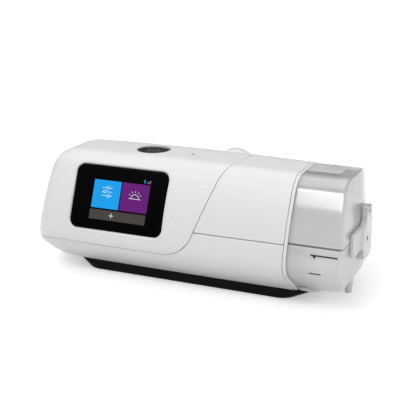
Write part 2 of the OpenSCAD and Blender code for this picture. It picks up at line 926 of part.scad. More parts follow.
module blower_upper() {
    color("gainsboro") difference() {
        union() {
            at_blower(blower_split_z) cylinder(r = blower_r, h = blower_top_z - blower_split_z);
            at_blower(blower_top_z - 1)
                cylinder(r = inlet_r + nozzle_wall, h = inlet_collar_top_z - blower_top_z + 1);
            block([blower_x, nozzle_y[0], blower_split_z], [nozzle_end_x, nozzle_y[1], blower_top_z]);
        }
        at_blower(blower_split_z - 1)
            cylinder(r = blower_r - blower_wall, h = blower_top_z - blower_wall - blower_split_z + 1);
        at_blower(0) cylinder(r = inlet_r, h = far);
        block([blower_x, nozzle_y[0] + nozzle_wall, blower_split_z + nozzle_wall],
            [nozzle_end_x + 1, nozzle_y[1] - nozzle_wall, blower_top_z - nozzle_wall]);
    }
}

module impeller() {
    color("white") difference() {
        at_blower(impeller_z[0]) {
            cylinder(r = impeller_r, h = impeller_disc_t);
            cylinder(r = impeller_hub_r, h = impeller_z[1] - impeller_z[0]);
            for (k = [0:blade_count - 1]) rotate([0, 0, 360 * k / blade_count])
                translate([impeller_hub_r - blade_root, 0, 0]) rotate([0, 0, -blade_sweep])
                    cube([impeller_r - impeller_hub_r - blade_root - blade_short, blade_t,
                        impeller_z[1] - impeller_z[0]]);
        }
        at_blower(0) cylinder(r = shaft_r + press_gap, h = far);
    }
}

module motor_shaft() {
    color("silver") at_blower(shaft_low_z) cylinder(r = shaft_r, h = shaft_top_z - shaft_low_z);
}

module motor_rotor() {
    color("dimgray") difference() {
        at_blower(rotor_z[0]) cylinder(r = rotor_out_r, h = rotor_z[1] - rotor_z[0]);
        at_blower(rotor_z[0] - 1) cylinder(r = rotor_in_r, h = rotor_z[1] - rotor_z[0] - rotor_top_t + 1);
        at_blower(0) cylinder(r = shaft_r + press_gap, h = far);
    }
}

stator_poles = 9;
stator_z = [rotor_z[0] + 1, rotor_z[0] + 8];
stator_core_r = 10;
pole_w = 3;
pole_end_r = rotor_in_r - 0.6;
module motor_stator() {
    height = stator_z[1] - stator_z[0];
    color("peru") difference() {
        at_blower(stator_z[0]) {
            cylinder(r = stator_core_r, h = height);
            for (k = [0:stator_poles - 1]) rotate([0, 0, 360 * k / stator_poles])
                translate([stator_core_r - 1, -pole_w / 2, 0])
                    cube([pole_end_r - stator_core_r + 1, pole_w, height]);
        }
        at_blower(0) cylinder(r = hub_r + slack / 2, h = 60);
    }
}

module shaft_bearings() {
    color("silver") for (z = bearing_z)
        at_blower(z) tube(hub_bore_r - 0.05, shaft_r + shaft_gap, bearing_h);
}

mount_ring_r = 22;
mount_r = 5;
module blower_mounts() {
    color("slategray") for (a = [30, 150, 270]) at_blower(floor_z + wall) rotate([0, 0, a])
        translate([mount_ring_r, 0, 0]) cylinder(r = mount_r, h = blower_z - floor_z - wall);
}

muffler_low = [-94, -18, inlet_collar_top_z];
muffler_high = [-24, 46, 66];
muffler_wall = 1.6;
muffler_port_x = [-92, -56];
muffler_port_z = [52, 59];
collar_end_y = 52;

module muffler_box() {
    color("lightsteelblue") difference() {
        union() {
            block(muffler_low, muffler_high);
            block([muffler_port_x[0] - muffler_wall, muffler_high[1] - 1, muffler_port_z[0] - muffler_wall],
                [muffler_port_x[1] + muffler_wall, collar_end_y, muffler_port_z[1] + muffler_wall]);
        }
        block(muffler_low + [1, 1, 1] * muffler_wall, muffler_high - [1, 1, 1] * muffler_wall);
        block([muffler_port_x[0], muffler_high[1] - 4, muffler_port_z[0]],
            [muffler_port_x[1], far, muffler_port_z[1]]);
        at_blower(muffler_low[2] - 1) cylinder(r = inlet_r, h = 4);
    }
}

module muffler_foam() {
    color("darkgray") difference() {
        block(muffler_low + [muffler_wall + slack, muffler_wall + slack, muffler_wall],
            muffler_high - [1, 1, 1] * (muffler_wall + slack));
        at_blower(0) cylinder(r = inlet_r + 2, h = far);
        block([muffler_port_x[0], blower_y, muffler_port_z[0] + slack],
            [muffler_port_x[1], far, muffler_port_z[1]]);
    }
}

filter_y = [collar_end_y, 58];
module air_filter() {
    color("lightblue") block([filter_door_x[0] + 2, filter_y[0], filter_door_z[0] + 1],
        [filter_door_x[1] - 2, filter_y[1], filter_door_z[1] - 1]);
}

module filter_cover() {
    color(white) difference() {
        union() {
            intersection() {
                casing_shell();
                filter_door_zone(door_gap);
                block([-far, 0, 0], [far, far, filter_hinge_z]);
            }
            filter_axis(filter_door_x[0] + door_gap, filter_door_w - 2 * door_gap, barrel_r);
        }
        filter_pin(0.05);
        for (k = [1:vent_count])
            translate([filter_door_x[0] + filter_door_w * k / (vent_count + 1) - vent_w / 2, rear_deep_y,
                (filter_door_z[0] + filter_door_z[1] - vent_h) / 2])
                cube([vent_w, far, vent_h]);
    }
}

module filter_hinge_pin() {
    color("silver") filter_pin(0);
}

sensor_x = [4, 19];
sensor_r = 10;
duct_t = 1.6;
module duct_foot(g) {
    block([nozzle_end_x, nozzle_y[0] + g, blower_split_z + g],
        [nozzle_end_x + 2, nozzle_y[1] - g, blower_top_z - g]);
}
module duct_head(g) {
    at_port(0, sensor_x[0] - 2) cylinder(r = sensor_r - g, h = 2, $fn = 32);
}
module supply_duct() {
    color("lightgray") difference() {
        hull() {
            duct_foot(0);
            duct_head(0);
        }
        hull() {
            translate([-0.5, 0, 0]) duct_foot(duct_t);
            translate([0.5, 0, 0]) duct_head(duct_t);
        }
    }
}

module flow_sensor() {
    color("slategray") {
        at_port(0, sensor_x[0]) tube(sensor_r, port_r, sensor_x[1] - sensor_x[0]);
        difference() {
            block([sensor_x[0] + 3, port_y[0] - 5, port_z[0] + sensor_r - 2],
                [sensor_x[1] - 3, port_y[0] + 5, port_z[0] + sensor_r + 5]);
            at_port(0, sensor_x[0]) cylinder(r = sensor_r - 0.5, h = 20);
        }
    }
}

seal_end_x = bay_x + liner_wall + 2;
module port_seals() {
    color("lightcyan") for (i = [0, 1]) {
        at_port(i, sensor_x[1]) tube(port_r + seal_wall, port_r, seal_end_x - sensor_x[1]);
        at_port(i, bay_x + liner_wall) tube(port_r + seal_wall + 1.5, port_r, 1);
    }
}

// Outlet elbow, a quarter bend from the bay wall to the outlet
elbow_r = 10;
elbow_out_r = 9;
module outlet_elbow() {
    color("lightgray") {
        translate([outlet_x + elbow_r, port_y[1], outlet_z]) rotate([0, 90, 0])
            tube(elbow_out_r, port_r, sensor_x[1] - outlet_x - elbow_r);
        translate([outlet_x + elbow_r, port_y[1] + elbow_r, outlet_z]) rotate([0, 0, 180])
            rotate_extrude(angle = 90) translate([elbow_r, 0]) difference() {
                circle(elbow_out_r);
                circle(port_r);
            }
    }
}

outlet_start_y = 50.4;
flange_y = [56, 58];
module outlet_connector() {
    color("white") difference() {
        union() {
            outlet_axis(outlet_start_y) cylinder(r = outlet_r, h = outlet_end_y - outlet_start_y);
            outlet_axis(flange_y[0]) cylinder(r = boss_bore_r - 0.35, h = flange_y[1] - flange_y[0]);
        }
        outlet_axis(outlet_start_y - 1) cylinder(r = outlet_bore_r, h = 30);
    }
}

module outlet_seal_ring() {
    color("dimgray") outlet_axis(port_y[1] + elbow_r)
        tube(boss_bore_r - 0.05, outlet_bore_r, outlet_start_y - port_y[1] - elbow_r);
}

module heater_block(low, high, in) {
    block([heater_x[0] + in, heater_y[0] + in, low], [heater_x[1] - in, heater_y[1] - in, high]);
}
module heater_plate() {
    color("silver") heater_block(heater_top_z - heater_plate_t, heater_top_z, 0);
}
heater_edge = 4;
element_z = heater_top_z - heater_plate_t - heater_element_t;
module heater_element() {
    color("orange") heater_block(element_z, element_z + heater_element_t, heater_edge);
}
module heater_insulator() {
    color("beige") heater_block(floor_z, element_z, 0);
}

module power_inlet() {
    cavity_x = [inlet_x[0] + 1.5, inlet_x[1] - 1.5];
    cavity_z = [inlet_z[0] + 1.4, inlet_z[1] - 1.4];
    back_y = 62.6;
    color([0.1, 0.1, 0.1]) {
        difference() {
            block([inlet_x[0], inlet_y, inlet_z[0]], [inlet_x[1], back_y, inlet_z[1]]);
            block([cavity_x[0], inlet_y + 3, cavity_z[0]], [cavity_x[1], back_y + 1, cavity_z[1]]);
        }
        for (k = [-1:1])
            translate([(inlet_x[0] + inlet_x[1]) / 2 + 3 * k, inlet_y + 2.5, cavity_z[0] + 1.4])
                rotate([-90, 0, 0]) cylinder(r = 0.6, h = 9);
        block([inlet_x[0] + 3, inlet_y, floor_z + wall], [inlet_x[1] - 3, inlet_y + 5.5, inlet_z[0]]);
    }
}

module memory_card() {
    color("navy") block([card_x[0], card_y[0], card_z[0]], [card_x[1], card_y[1], card_z[1]]);
}
card_gap = 0.15;
slot_wall = 2;
module card_slot() {
    color("silver") difference() {
        block([slot_x[0], card_y[0] - slot_wall, card_z[0] - slot_low_t],
            [slot_x[1], card_y[1] + slot_wall, card_z[1] + slot_high_t]);
        block([slot_x[0] - 1, card_y[0] - card_gap, card_z[0] - card_gap],
            [card_x[1] + card_gap, card_y[1] + card_gap, card_z[1] + card_gap]);
    }
}
module card_cover() {
    color(white) {
        intersection() {
            casing_shell();
            card_door_zone(door_gap);
        }
        block([slot_x[0] - card_stop_l, card_y[0] + 4, card_z[1] + 0.3],
            [slot_x[0], card_y[1] - 4, card_z[1] + slot_high_t]);
    }
}

// Plan outline of the tub's end: nearly straight, then a large rear corner
tub_turn_y = -8.5;
tub_front_slope = 0.02;
tub_front_y = -90;
corner_steps = 9;
function tub_end_outline(out) =
    let (
        front_x = tub_end_x + out + (tub_front_y - tub_turn_y) * tub_front_slope,
        mid_x = tub_end_x - tub_corner_r,
        r = tub_corner_r + out
    )
    concat(
        [[bay_x - 20, tub_front_y], [front_x, tub_front_y]],
        [for (k = [0:corner_steps])
            let (a = 90 * k / corner_steps)
            [mid_x + r * cos(a), tub_turn_y + r * sin(a)]],
        [[mid_x - 4, 90], [bay_x - 20, 90]]);

tub_foot_r = 12;
tub_start_x = seal_end_x + 0.3;
tub_step_x = trim_x[1] + 0.4;
tub_bay_in = liner_in + liner_wall + tub_gap;

// Front view outlines of the base's and the lid's end, cut back by in
function base_side_outline(in, low, high) =
    let (end_x = tub_end_x + 0.2 - in, foot = max(tub_foot_r - in, 4))
    concat(
        [[tub_start_x + in, high], [tub_start_x + in, low]],
        [for (k = [0:6]) [end_x - foot + foot * sin(15 * k), low + foot - foot * cos(15 * k)]],
        [[end_x, high]]);
function lid_side_outline(in, low, high) =
    let (end_x = tub_end_x + 0.2 - in)
    [[tub_start_x + in, high], [tub_start_x + in, low], [end_x, low],
        [end_x - (high - low) * tan(lid_lean), high]];

// Outer or inner form of tub and lid between two heights
module tub_form(in, low, high) {
    intersection() {
        union() {
            along_x(tub_start_x, tub_step_x + in + 1) polygon(section(tub_bay_in + in, tub_z + in));
            along_x(tub_step_x + in, tub_end_x + 10) polygon(section(tub_inset + in, tub_z + in));
        }
        along_y(-far, far)
            polygon(low < rim_z - 1 ? base_side_outline(in, low, high) : lid_side_outline(in, low, high));
        translate([0, 0, -1]) linear_extrude(far) polygon(tub_end_outline(-in));
    }
}

tub_plate_x = [34, 80];
tub_plate_y = [-25, 31];
tub_foot_x = 116.4;
module tub_plate_block(low, high, in) {
    block([tub_plate_x[0] + in, tub_plate_y[0] + in, low],
        [tub_plate_x[1] - in, tub_plate_y[1] - in, high]);
}

module tub_base() {
    color([0.85, 0.87, 0.9, 0.6]) {
        difference() {
            tub_form(0, tub_z, rim_z);
            tub_form(tub_wall, tub_z + tub_wall, rim_z + 0.8);
            tub_plate_block(tub_z - 1, tub_z + tub_wall + 1, 1.5);
            tub_plate_block(tub_z + 1, tub_z + tub_wall + 1, 0);
        }
        translate([tub_foot_x, latch_y, 0.3]) cylinder(r1 = 2.6, r2 = 3.4, h = tub_z + 0.8);
    }
}

module tub_heat_plate() {
    color("silver") {
        tub_plate_block(tub_z, tub_z + 1, 1.7);
        tub_plate_block(tub_z + 1, tub_z + tub_wall, 0.2);
    }
}

module lid_seal() {
    color("gray") difference() {
        tub_form(0.8, rim_z, lid_low_z);
        tub_form(2.8, rim_z - 1, lid_low_z + 1);
    }
}

grip_ribs = [101, 104.5, 108];
rib_y = [-38, -25];
rib_w = 1.2;
rib_h = 0.5;
ear_w = 5;
ear_r = 2;
latch_x = tub_end_x + 2.5;
snorkel_l = 20;
lid_high_z = top_z + 6.5;
latch_pin_z = lid_low_z + latch_pin_rise;

// A round bar along the latch's pin, w wide
module latch_axis(x, w, r) {
    translate([x, latch_y - w / 2, latch_pin_z]) rotate([-90, 0, 0]) cylinder(r = r, h = w);
}

module tub_lid() {
    color([0.85, 0.87, 0.9, 0.6]) {
        difference() {
            union() {
                tub_form(0, lid_low_z, lid_high_z);
                for (x = grip_ribs)
                    block([x, rib_y[0], top_z - tub_inset - 1],
                        [x + rib_w, rib_y[1], top_z - tub_inset + rib_h]);
            }
            tub_form(tub_wall, lid_low_z - 1, lid_high_z);
            for (i = [0, 1]) at_port(i, tub_start_x - 1) cylinder(r = port_r, h = tub_wall + 2);
        }
        for (i = [0, 1]) at_port(i, tub_start_x + tub_wall - slack) tube(port_r + 1.6, port_r, snorkel_l);
        difference() {
            union() {
                latch_axis(latch_x, ear_w, ear_r);
                block([tub_end_x - 3, latch_y - ear_w / 2, latch_pin_z - ear_r],
                    [latch_x, latch_y + ear_w / 2, latch_pin_z + ear_r]);
            }
            latch_axis(latch_x, 20, latch_pin_r + 0.03);
        }
    }
}

// Latch: a lever with a tab at its pin and a wing to each side
latch_in_x = tub_end_x + 0.7;
tab_w = 15;
wing_z = [latch_pin_z - 27, latch_pin_z - 11];
wing_reach = 34.5;
wing_t = 2.1;
lever_top_z = latch_pin_z - 9;
lever_r = 6;
knuckle_r = 2.4;
knuckle_gap = 0.4;
wing_gap = 0.6;
module latch_wing_band() {
    intersection() {
        difference() {
            polygon(tub_end_outline(wing_gap + wing_t));
            polygon(tub_end_outline(wing_gap));
        }
        translate([tub_end_x - 25, latch_y - wing_reach]) square([60, 2 * wing_reach]);
    }
}
module tub_latch() {
    color([0.88, 0.89, 0.92, 0.7]) difference() {
        union() {
            translate([0, 0, wing_z[0]]) linear_extrude(wing_z[1] - wing_z[0]) latch_wing_band();
            along_x(latch_in_x, latch_in_x + latch_t) {
                translate([latch_y - latch_w / 2 + lever_r, latch_low_z])
                    square([latch_w - 2 * lever_r, lever_r]);
                translate([latch_y - latch_w / 2, latch_low_z + lever_r])
                    square([latch_w, lever_top_z - latch_low_z - lever_r]);
                for (s = [-1, 1])
                    translate([latch_y + s * (latch_w / 2 - lever_r), latch_low_z + lever_r])
                        circle(lever_r);
                translate([latch_y - tab_w / 2, lever_top_z - 1])
                    square([tab_w, latch_pin_z - lever_top_z + 1]);
            }
            latch_axis(latch_in_x + latch_t - knuckle_r, tab_w, knuckle_r);
        }
        latch_axis(latch_x, ear_w + 2 * knuckle_gap, ear_r + knuckle_gap);
        block([latch_in_x - 5, latch_y - ear_w / 2 - knuckle_gap, latch_pin_z - ear_r - 3],
            [latch_x, latch_y + ear_w / 2 + knuckle_gap, latch_pin_z + 9]);
        latch_axis(latch_x, 40, latch_pin_r + 0.05);
    }
}

module latch_pin() {
    color("silver") latch_axis(latch_x, tab_w - 1, latch_pin_r);
}

fascia();
side_panel();
lower_housing();
rear_cover();
bay_trim_ring();
bay_liner();
base_plate();
rubber_feet();
casing_screws();
screen_glass();
display_module();
display_frame();
display_ribbon();
start_button();
button_switch();
button_light_guide();
light_sensor_lens();
top_board();
main_board();
board_clips();
modem_board();
blower_lower();
blower_upper();
impeller();
motor_shaft();
motor_rotor();
motor_stator();
shaft_bearings();
blower_mounts();
muffler_box();
muffler_foam();
air_filter();
filter_cover();
filter_hinge_pin();
supply_duct();
flow_sensor();
port_seals();
outlet_elbow();
outlet_connector();
outlet_seal_ring();
heater_plate();
heater_element();
heater_insulator();
power_inlet();
card_cover();
memory_card();
card_slot();
tub_base();
tub_lid();
lid_seal();
tub_heat_plate();
tub_latch();
latch_pin();
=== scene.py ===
"""Looks of a bedside bilevel PAP machine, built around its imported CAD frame.

Lengths in this script are millimetres, in the CAD frame; they become metres where a mesh is made.
Frame: +X to the tub end, -Y to the screen side, +Z up, origin on the floor.
"""

import math

import bmesh
import bpy
import numpy as np
from mathutils import Matrix, Vector

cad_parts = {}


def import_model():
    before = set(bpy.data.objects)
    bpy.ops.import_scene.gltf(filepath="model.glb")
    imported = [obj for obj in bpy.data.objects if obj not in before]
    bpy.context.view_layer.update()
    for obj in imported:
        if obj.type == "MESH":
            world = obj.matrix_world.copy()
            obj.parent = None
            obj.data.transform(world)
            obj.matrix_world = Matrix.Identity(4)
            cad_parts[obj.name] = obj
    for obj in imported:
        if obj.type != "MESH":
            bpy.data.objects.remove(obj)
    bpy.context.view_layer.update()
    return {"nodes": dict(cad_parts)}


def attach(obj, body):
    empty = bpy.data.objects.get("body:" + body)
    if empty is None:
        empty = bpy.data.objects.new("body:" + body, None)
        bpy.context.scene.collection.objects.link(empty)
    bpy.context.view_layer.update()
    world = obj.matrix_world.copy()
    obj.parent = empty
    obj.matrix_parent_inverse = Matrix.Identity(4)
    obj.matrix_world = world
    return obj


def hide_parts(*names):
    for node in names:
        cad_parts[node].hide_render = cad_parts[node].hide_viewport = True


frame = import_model()
nodes = frame["nodes"]

MM = 0.001


# Driving sizes. Most are those of the CAD part; its roof, left tip, button and latch are finer here
TIP_X = -125.5
CASE_END_X = 85.0
FRONT_Y = -69.0
REAR_Y = 64.0
FLOOR_Z = 8.0
TOP_Z = 93.5
WALL = 2.2
SEAM_HALF = 0.2
SEAM_ROUND = 0.5
CROWN_R = 3000.0
BOW_R = 4000.0
END_LEAN = math.tan(math.radians(10))

PROFILE = [
    (-39.8, FLOOR_Z),
    (FRONT_Y, 30.2),
    (FRONT_Y, 42.8),
    (-62.6, 63.8),
    (-46.75, TOP_Z),
    (-3.5, TOP_Z),
    (REAR_Y - 3, 72.1),
    (REAR_Y, 20),
    (REAR_Y - 7, FLOOR_Z),
]
PROFILE_RADII = [3, 15, 34, 160, 19.5, 55, 13, 14, 5]
# the outline's runs that make the roof and its fall to the rear
ROOF_RUNS = [4, 5]

CAP_LENGTH, CAP_SIDE = 43.0, 26.0
CAP_MID_Y, CAP_MID_Z = 15.0, 16.0
LEAN_FROM_Z, LEAN_LENGTH = 30.0, 45.0
CROWN_MID_X = -10.0

LOW_SEAM_Z, MID_SEAM_Z = 31.8, 51.0
BEND_X, BEND_R, BEND_ANGLE = -6.0, 26.0, math.radians(70)
REAR_SEAM_Y, REAR_SPLIT_Z = 42.0, 60.0
OVER_TOP = [(-46, 34.9), (-38, 36.6), (-30, 38), (-20, 39.1), (-10, 40), (10, 40.9), (42, 42)]

SCREEN = (-42.6, -60.4, 65.6)
SCREEN_W, SCREEN_H, SCREEN_R, SCREEN_TILT = 73.9, 47.0, 6.0, 22.0
GLASS_T, GLASS_SINK, WINDOW_GAP = 2.1, 0.3, 0.3
WINDOW_ROUND, RIM_EDGE, DOOR_EDGE, HOLE_EDGE = 1.9, 0.5, 0.4, 0.3

BUTTON = (-33.0, -20.5, 94.25)
BUTTON_R, BUTTON_GAP, BUTTON_T, BUTTON_TILT = 12.2, 0.35, 2.6, 3.5
LENS_X, LENS_Y, LENS_HOLE = 0.0, -23.0, 1.5

CARD_DOOR_Y, CARD_DOOR_Z, CARD_DOOR_X = (6.0, 34.0), (36.0, 50.0), -108.0
FILTER_DOOR_X, FILTER_DOOR_Z = (-98.0, -50.0), (39.0, 60.0)
DOOR_GAP = 0.35
FILTER_HINGE = (60.2, 58.15)
INLET_X, INLET_Z = (-21.0, -7.0), (18.4, 29.6)
OUTLET_X, OUTLET_Z = 3.0, 63.0
BOSS_R, BOSS_BORE, BOSS_Y, BOSS_RISE = 17.5, 13.35, (48.0, 61.5), 0.7
OUTLET_R, OUTLET_BORE, OUTLET_Y = 11.0, 9.0, (50.4, 70.1)

TUB_Z, RIM_Z, LID_Z = 12.0, 51.0, 52.2
TUB_END_X, TUB_START_X, TUB_STEP_X = 125.0, 24.9, 87.3
TUB_INSET, TUB_TOP_INSET, TUB_BAY_IN, TUB_WALL = 2.2, 0.4, 5.0, 2.0
TUB_LIFT = TUB_INSET - TUB_TOP_INSET
TUB_R, TUB_TURN_Y, TUB_SLOPE = 78.0, -8.5, 0.02
TUB_FOOT_R, LID_LEAN = 12.0, math.tan(math.radians(5))
TUB_ROUND = 1.6
LATCH_Y, LATCH_PIN_X, LATCH_PIN_Z = -9.5, 127.5, 66.0


# Outlines with rounded corners
def unit(v):
    return v / np.maximum(np.linalg.norm(v, axis=-1, keepdims=True), 1e-12)


def cross2(a, b):
    return a[..., 0] * b[..., 1] - a[..., 1] * b[..., 0]


class Outline:
    """A closed outline, clockwise, of arcs and straight runs. It is read at t, where piece 2i is the
    arc of corner i and piece 2i + 1 the run after it, at a distance d inside, with its bottom edge at low.
    The runs named in roof are less far inside, by lift."""

    def __init__(self, corners, radii, bottom_edge=False, roof=()):
        self.p = np.array(corners, float)
        self.r = np.array(radii, float)
        self.n = len(corners)
        self.bottom = bottom_edge
        self.roof = np.isin(np.arange(self.n), roof).astype(float)
        after = np.roll(self.p, -1, 0)
        self.way = unit(after - self.p)
        back = -np.roll(self.way, 1, 0)
        cosine = np.clip(np.sum(back * self.way, 1), -1, 1)
        self.half = np.arccos(cosine) / 2
        self.middle = unit(back + self.way)
        self.back = back
        # an arc starts square to the run before it and ends square to the run after it
        reach = self.middle / np.sin(self.half)[:, None] * np.tan(self.half)[:, None]
        start, end = self.back - reach, self.way - reach
        self.start = np.arctan2(start[:, 1], start[:, 0])
        turn = np.arctan2(end[:, 1], end[:, 0]) - self.start
        self.turn = (turn + math.pi) % (2 * math.pi) - math.pi

    def corners(self, i, d, low, lift):
        """Corner i of the outline moved inwards by d, less lift on the roof."""
        j = (i - 1) % self.n
        inward = np.stack([self.way[:, 1], -self.way[:, 0]], 1)
        a = self.p[j] + inward[j] * (d - lift * self.roof[j])[:, None]
        b = self.p[i] + inward[i] * (d - lift * self.roof[i])[:, None]
        if self.bottom:
            flat_a, flat_b = j == self.n - 1, i == self.n - 1
            a[flat_a, 1] = low[flat_a]
            b[flat_b, 1] = low[flat_b]
        k = cross2(b - a, self.way[i]) / cross2(self.way[j], self.way[i])
        return a + self.way[j] * k[:, None]

    def at(self, t, d=0.0, low=0.0, lift=0.0):
        t, d, low, lift = np.broadcast_arrays(np.asarray(t, float) % (2 * self.n), d, low, lift)
        piece = np.minimum(np.floor(t).astype(int), 2 * self.n - 1)
        w = (t - piece)[:, None]
        i = piece // 2
        nxt = (i + 1) % self.n
        r = np.maximum(self.r[i] - d, 0.6)[:, None]
        r_next = np.maximum(self.r[nxt] - d, 0.6)[:, None]
        p, q = self.corners(i, d, low, lift), self.corners(nxt, d, low, lift)
        centre = p + self.middle[i] * r / np.sin(self.half[i])[:, None]
        angle = (self.start[i] + self.turn[i] * w[:, 0])[:, None]
        arc = centre + r * np.concatenate([np.cos(angle), np.sin(angle)], 1)
        run_from = p + self.way[i] * r / np.tan(self.half[i])[:, None]
        run_to = q + self.back[nxt] * r_next / np.tan(self.half[nxt])[:, None]
        run = run_from + (run_to - run_from) * w
        return np.where((piece % 2 == 0)[:, None], arc, run)

    def places(self, step, fine=0.16):
        """Values of t at most step apart along the line, closer on tight arcs."""
        out = []
        for piece in range(2 * self.n):
            if piece % 2 == 0:
                length = self.r[piece // 2] * abs(self.turn[piece // 2])
                count = max(3, math.ceil(length / step), math.ceil(abs(self.turn[piece // 2]) / fine))
            else:
                ends = self.at(np.array([piece, piece + 0.9999]))
                count = max(1, math.ceil(np.linalg.norm(ends[1] - ends[0]) / step))
            out += [piece + k / count for k in range(count)]
        return np.array(out + [2.0 * self.n])


# Surfaces, read at (u, t)
class Surface:
    """A surface in space. at(u, t) gives points, with unit normals from small steps."""

    step_u, step_t = 0.02, 0.002

    def ways(self, u, t):
        hu, ht = self.step_u, self.step_t
        along = (self.at(u + hu, t) - self.at(u - hu, t)) / (2 * hu)
        round_ = (self.at(u, t + ht) - self.at(u, t - ht)) / (2 * ht)
        return along, round_

    def normal(self, u, t):
        along, round_ = self.ways(u, t)
        return unit(np.cross(along, round_))


PROFILE_LINE = Outline(PROFILE, PROFILE_RADII, bottom_edge=True, roof=ROOF_RUNS)


def limit01(v):
    return np.clip(v, 0, 1)


def shrink(x, length, power):
    t = limit01((TIP_X + length - x) / length)
    return (1 - t**power) ** (1 / power)


def skin_point(x, y, z):
    """A profile point placed at x, with the rounded end, its lean, the crown and the bow."""
    side = shrink(x, CAP_SIDE, 2)
    up = np.where(z > CAP_MID_Z, shrink(x, CAP_LENGTH, 3), shrink(x, CAP_LENGTH, 1.6))
    y2 = CAP_MID_Y + (y - CAP_MID_Y) * side
    z2 = CAP_MID_Z + (z - CAP_MID_Z) * up
    lean = END_LEAN * limit01((TIP_X + LEAN_LENGTH - x) / LEAN_LENGTH) ** 2
    high = limit01((z - FLOOR_Z) / (TOP_Z - FLOOR_Z))
    fore = limit01(y / FRONT_Y)
    span = (CASE_END_X - CROWN_MID_X) ** 2 - (x - CROWN_MID_X) ** 2
    return np.stack(
        [
            x + lean * (z2 - LEAN_FROM_Z),
            y2 - span / (2 * BOW_R) * fore * side,
            z2 + span / (2 * CROWN_R) * high * up,
        ],
        1,
    )


class Casing(Surface):
    """The casing's skin. u is 0 where the rounded end starts, and runs down to tip_u at the tip."""

    tip_u = -3 * CAP_LENGTH

    def x_at(self, u):
        q = np.clip(1 + u / (3 * CAP_LENGTH), 0, 1)
        return np.where(u < 0, TIP_X + CAP_LENGTH * q**3, TIP_X + CAP_LENGTH + u)

    def u_at(self, x):
        q = np.cbrt(np.clip((x - TIP_X) / CAP_LENGTH, 0, 1))
        return np.where(x < TIP_X + CAP_LENGTH, (q - 1) * 3 * CAP_LENGTH, x - TIP_X - CAP_LENGTH)

    def at(self, u, t):
        p = PROFILE_LINE.at(t, 0.0, FLOOR_Z)
        return skin_point(self.x_at(u), p[:, 0], p[:, 1])

    def normal(self, u, t):
        n = super().normal(u, t)
        n[u < self.tip_u + 0.5] = unit(np.array([-1.0, 0, -0.17]))
        return n

    def columns(self, step):
        """Values of u that are step apart along the casing's top line."""
        u = np.linspace(self.tip_u, CASE_END_X + 1 - TIP_X - CAP_LENGTH, 6000)
        x = self.x_at(u)
        z = CAP_MID_Z + (TOP_Z - CAP_MID_Z) * shrink(x, CAP_LENGTH, 3)
        length = np.concatenate([[0], np.cumsum(np.hypot(np.diff(x), np.diff(z)))])
        return np.interp(np.linspace(0, length[-1], math.ceil(length[-1] / step)), length, u)


casing = Casing()


def tub_end_x(y, z):
    """The end face of the tub: plan curve, rounded foot and leaning lid."""
    reach = np.sqrt(np.maximum(TUB_R**2 - np.maximum(y - TUB_TURN_Y, 0) ** 2, 0))
    plan = np.where(y < TUB_TURN_Y, TUB_END_X + (y - TUB_TURN_Y) * TUB_SLOPE, TUB_END_X - TUB_R + reach)
    under = np.clip(TUB_Z + TUB_FOOT_R - z, 0, TUB_FOOT_R)
    foot = TUB_FOOT_R - np.sqrt(TUB_FOOT_R**2 - under**2)
    return plan - foot - np.maximum(z - LID_Z, 0) * LID_LEAN


class Tub(Surface):
    """The tub's outer form, or that form cut back by inset: closed inner end, part inside the bay,
    step, part that shows, rounded edge and outer end. u is the length along that path."""

    step_u = 0.05
    centre = (-5.0, 47.0)

    def __init__(self, inset=0.0):
        c, r, edge, lift = TUB_BAY_IN, 2.0, 0.3, TUB_LIFT
        start, step = TUB_START_X + inset, TUB_STEP_X + inset
        # a row: share of the end face, own x, shift from the end face, inset, floor's rise, size, roof's lift
        rows = [(0, start, 0, c + r + inset, 2, 0.02, 0)]
        for k in (0.25, 0.5, 0.75, 1.0):
            rows.append((0, start, 0, c + r + inset, 2, k, 0))
        for a in np.radians([22.5, 45, 67.5, 90]):
            turned = 1 - math.sin(a)
            rows.append((0, start + r * (1 - math.cos(a)), 0, c + r * turned + inset, 2 * turned, 1, 0))
        for x in np.linspace(TUB_START_X + 4, TUB_STEP_X - 2.2, 16):
            rows.append((0, x, 0, c + inset, 0, 1, 0))
        for a in np.radians([0, 30, 60, 90]):
            rows.append((0, step - 1 + math.sin(a), 0, c - 1 + math.cos(a) + inset, 0, 1, 0))
        for a in np.radians([0, 30, 60, 90]):
            d = TUB_INSET + edge * (1 - math.sin(a)) + inset
            rows.append((0, step + edge * (1 - math.cos(a)), 0, d, 0, 1, lift))
        for w in np.linspace(0.03, 1, 14):
            rows.append((w, step + edge, -TUB_ROUND * w - inset * w, TUB_INSET + inset, 0, 1, lift))
        for a in np.radians(np.linspace(11.25, 90, 8)):
            e = -TUB_ROUND * (1 - math.sin(a)) - inset
            d = TUB_ROUND * (1 - math.cos(a))
            rows.append((1, 0, e, TUB_INSET + d + inset, d, 1, lift))
        for k in np.linspace(0.96, 0.02, 26):
            rows.append((1, 0, -inset, TUB_INSET + TUB_ROUND + inset, TUB_ROUND, k, lift))
        self.rows = np.array(rows)
        self.inset = inset
        # length along the path, from the change in x, inset and size
        size = 40 * self.rows[:, 5]
        x = self.rows[:, 1] * (1 - self.rows[:, 0]) + (TUB_END_X + self.rows[:, 2]) * self.rows[:, 0]
        steps = np.sqrt(np.diff(x) ** 2 + np.diff(self.rows[:, 3]) ** 2 + np.diff(size) ** 2)
        self.u = np.concatenate([[0], np.cumsum(steps)])

    def at(self, u, t):
        w, x0, e, d, up, k, lift = (np.interp(u, self.u, self.rows[:, c]) for c in range(7))
        p = PROFILE_LINE.at(t, d, TUB_Z + up + self.inset, lift)
        y = self.centre[0] + (p[:, 0] - self.centre[0]) * k
        z = self.centre[1] + (p[:, 1] - self.centre[1]) * k
        x = (1 - w) * x0 + w * tub_end_x(y, z) + e
        return np.stack([x, y, z], 1)


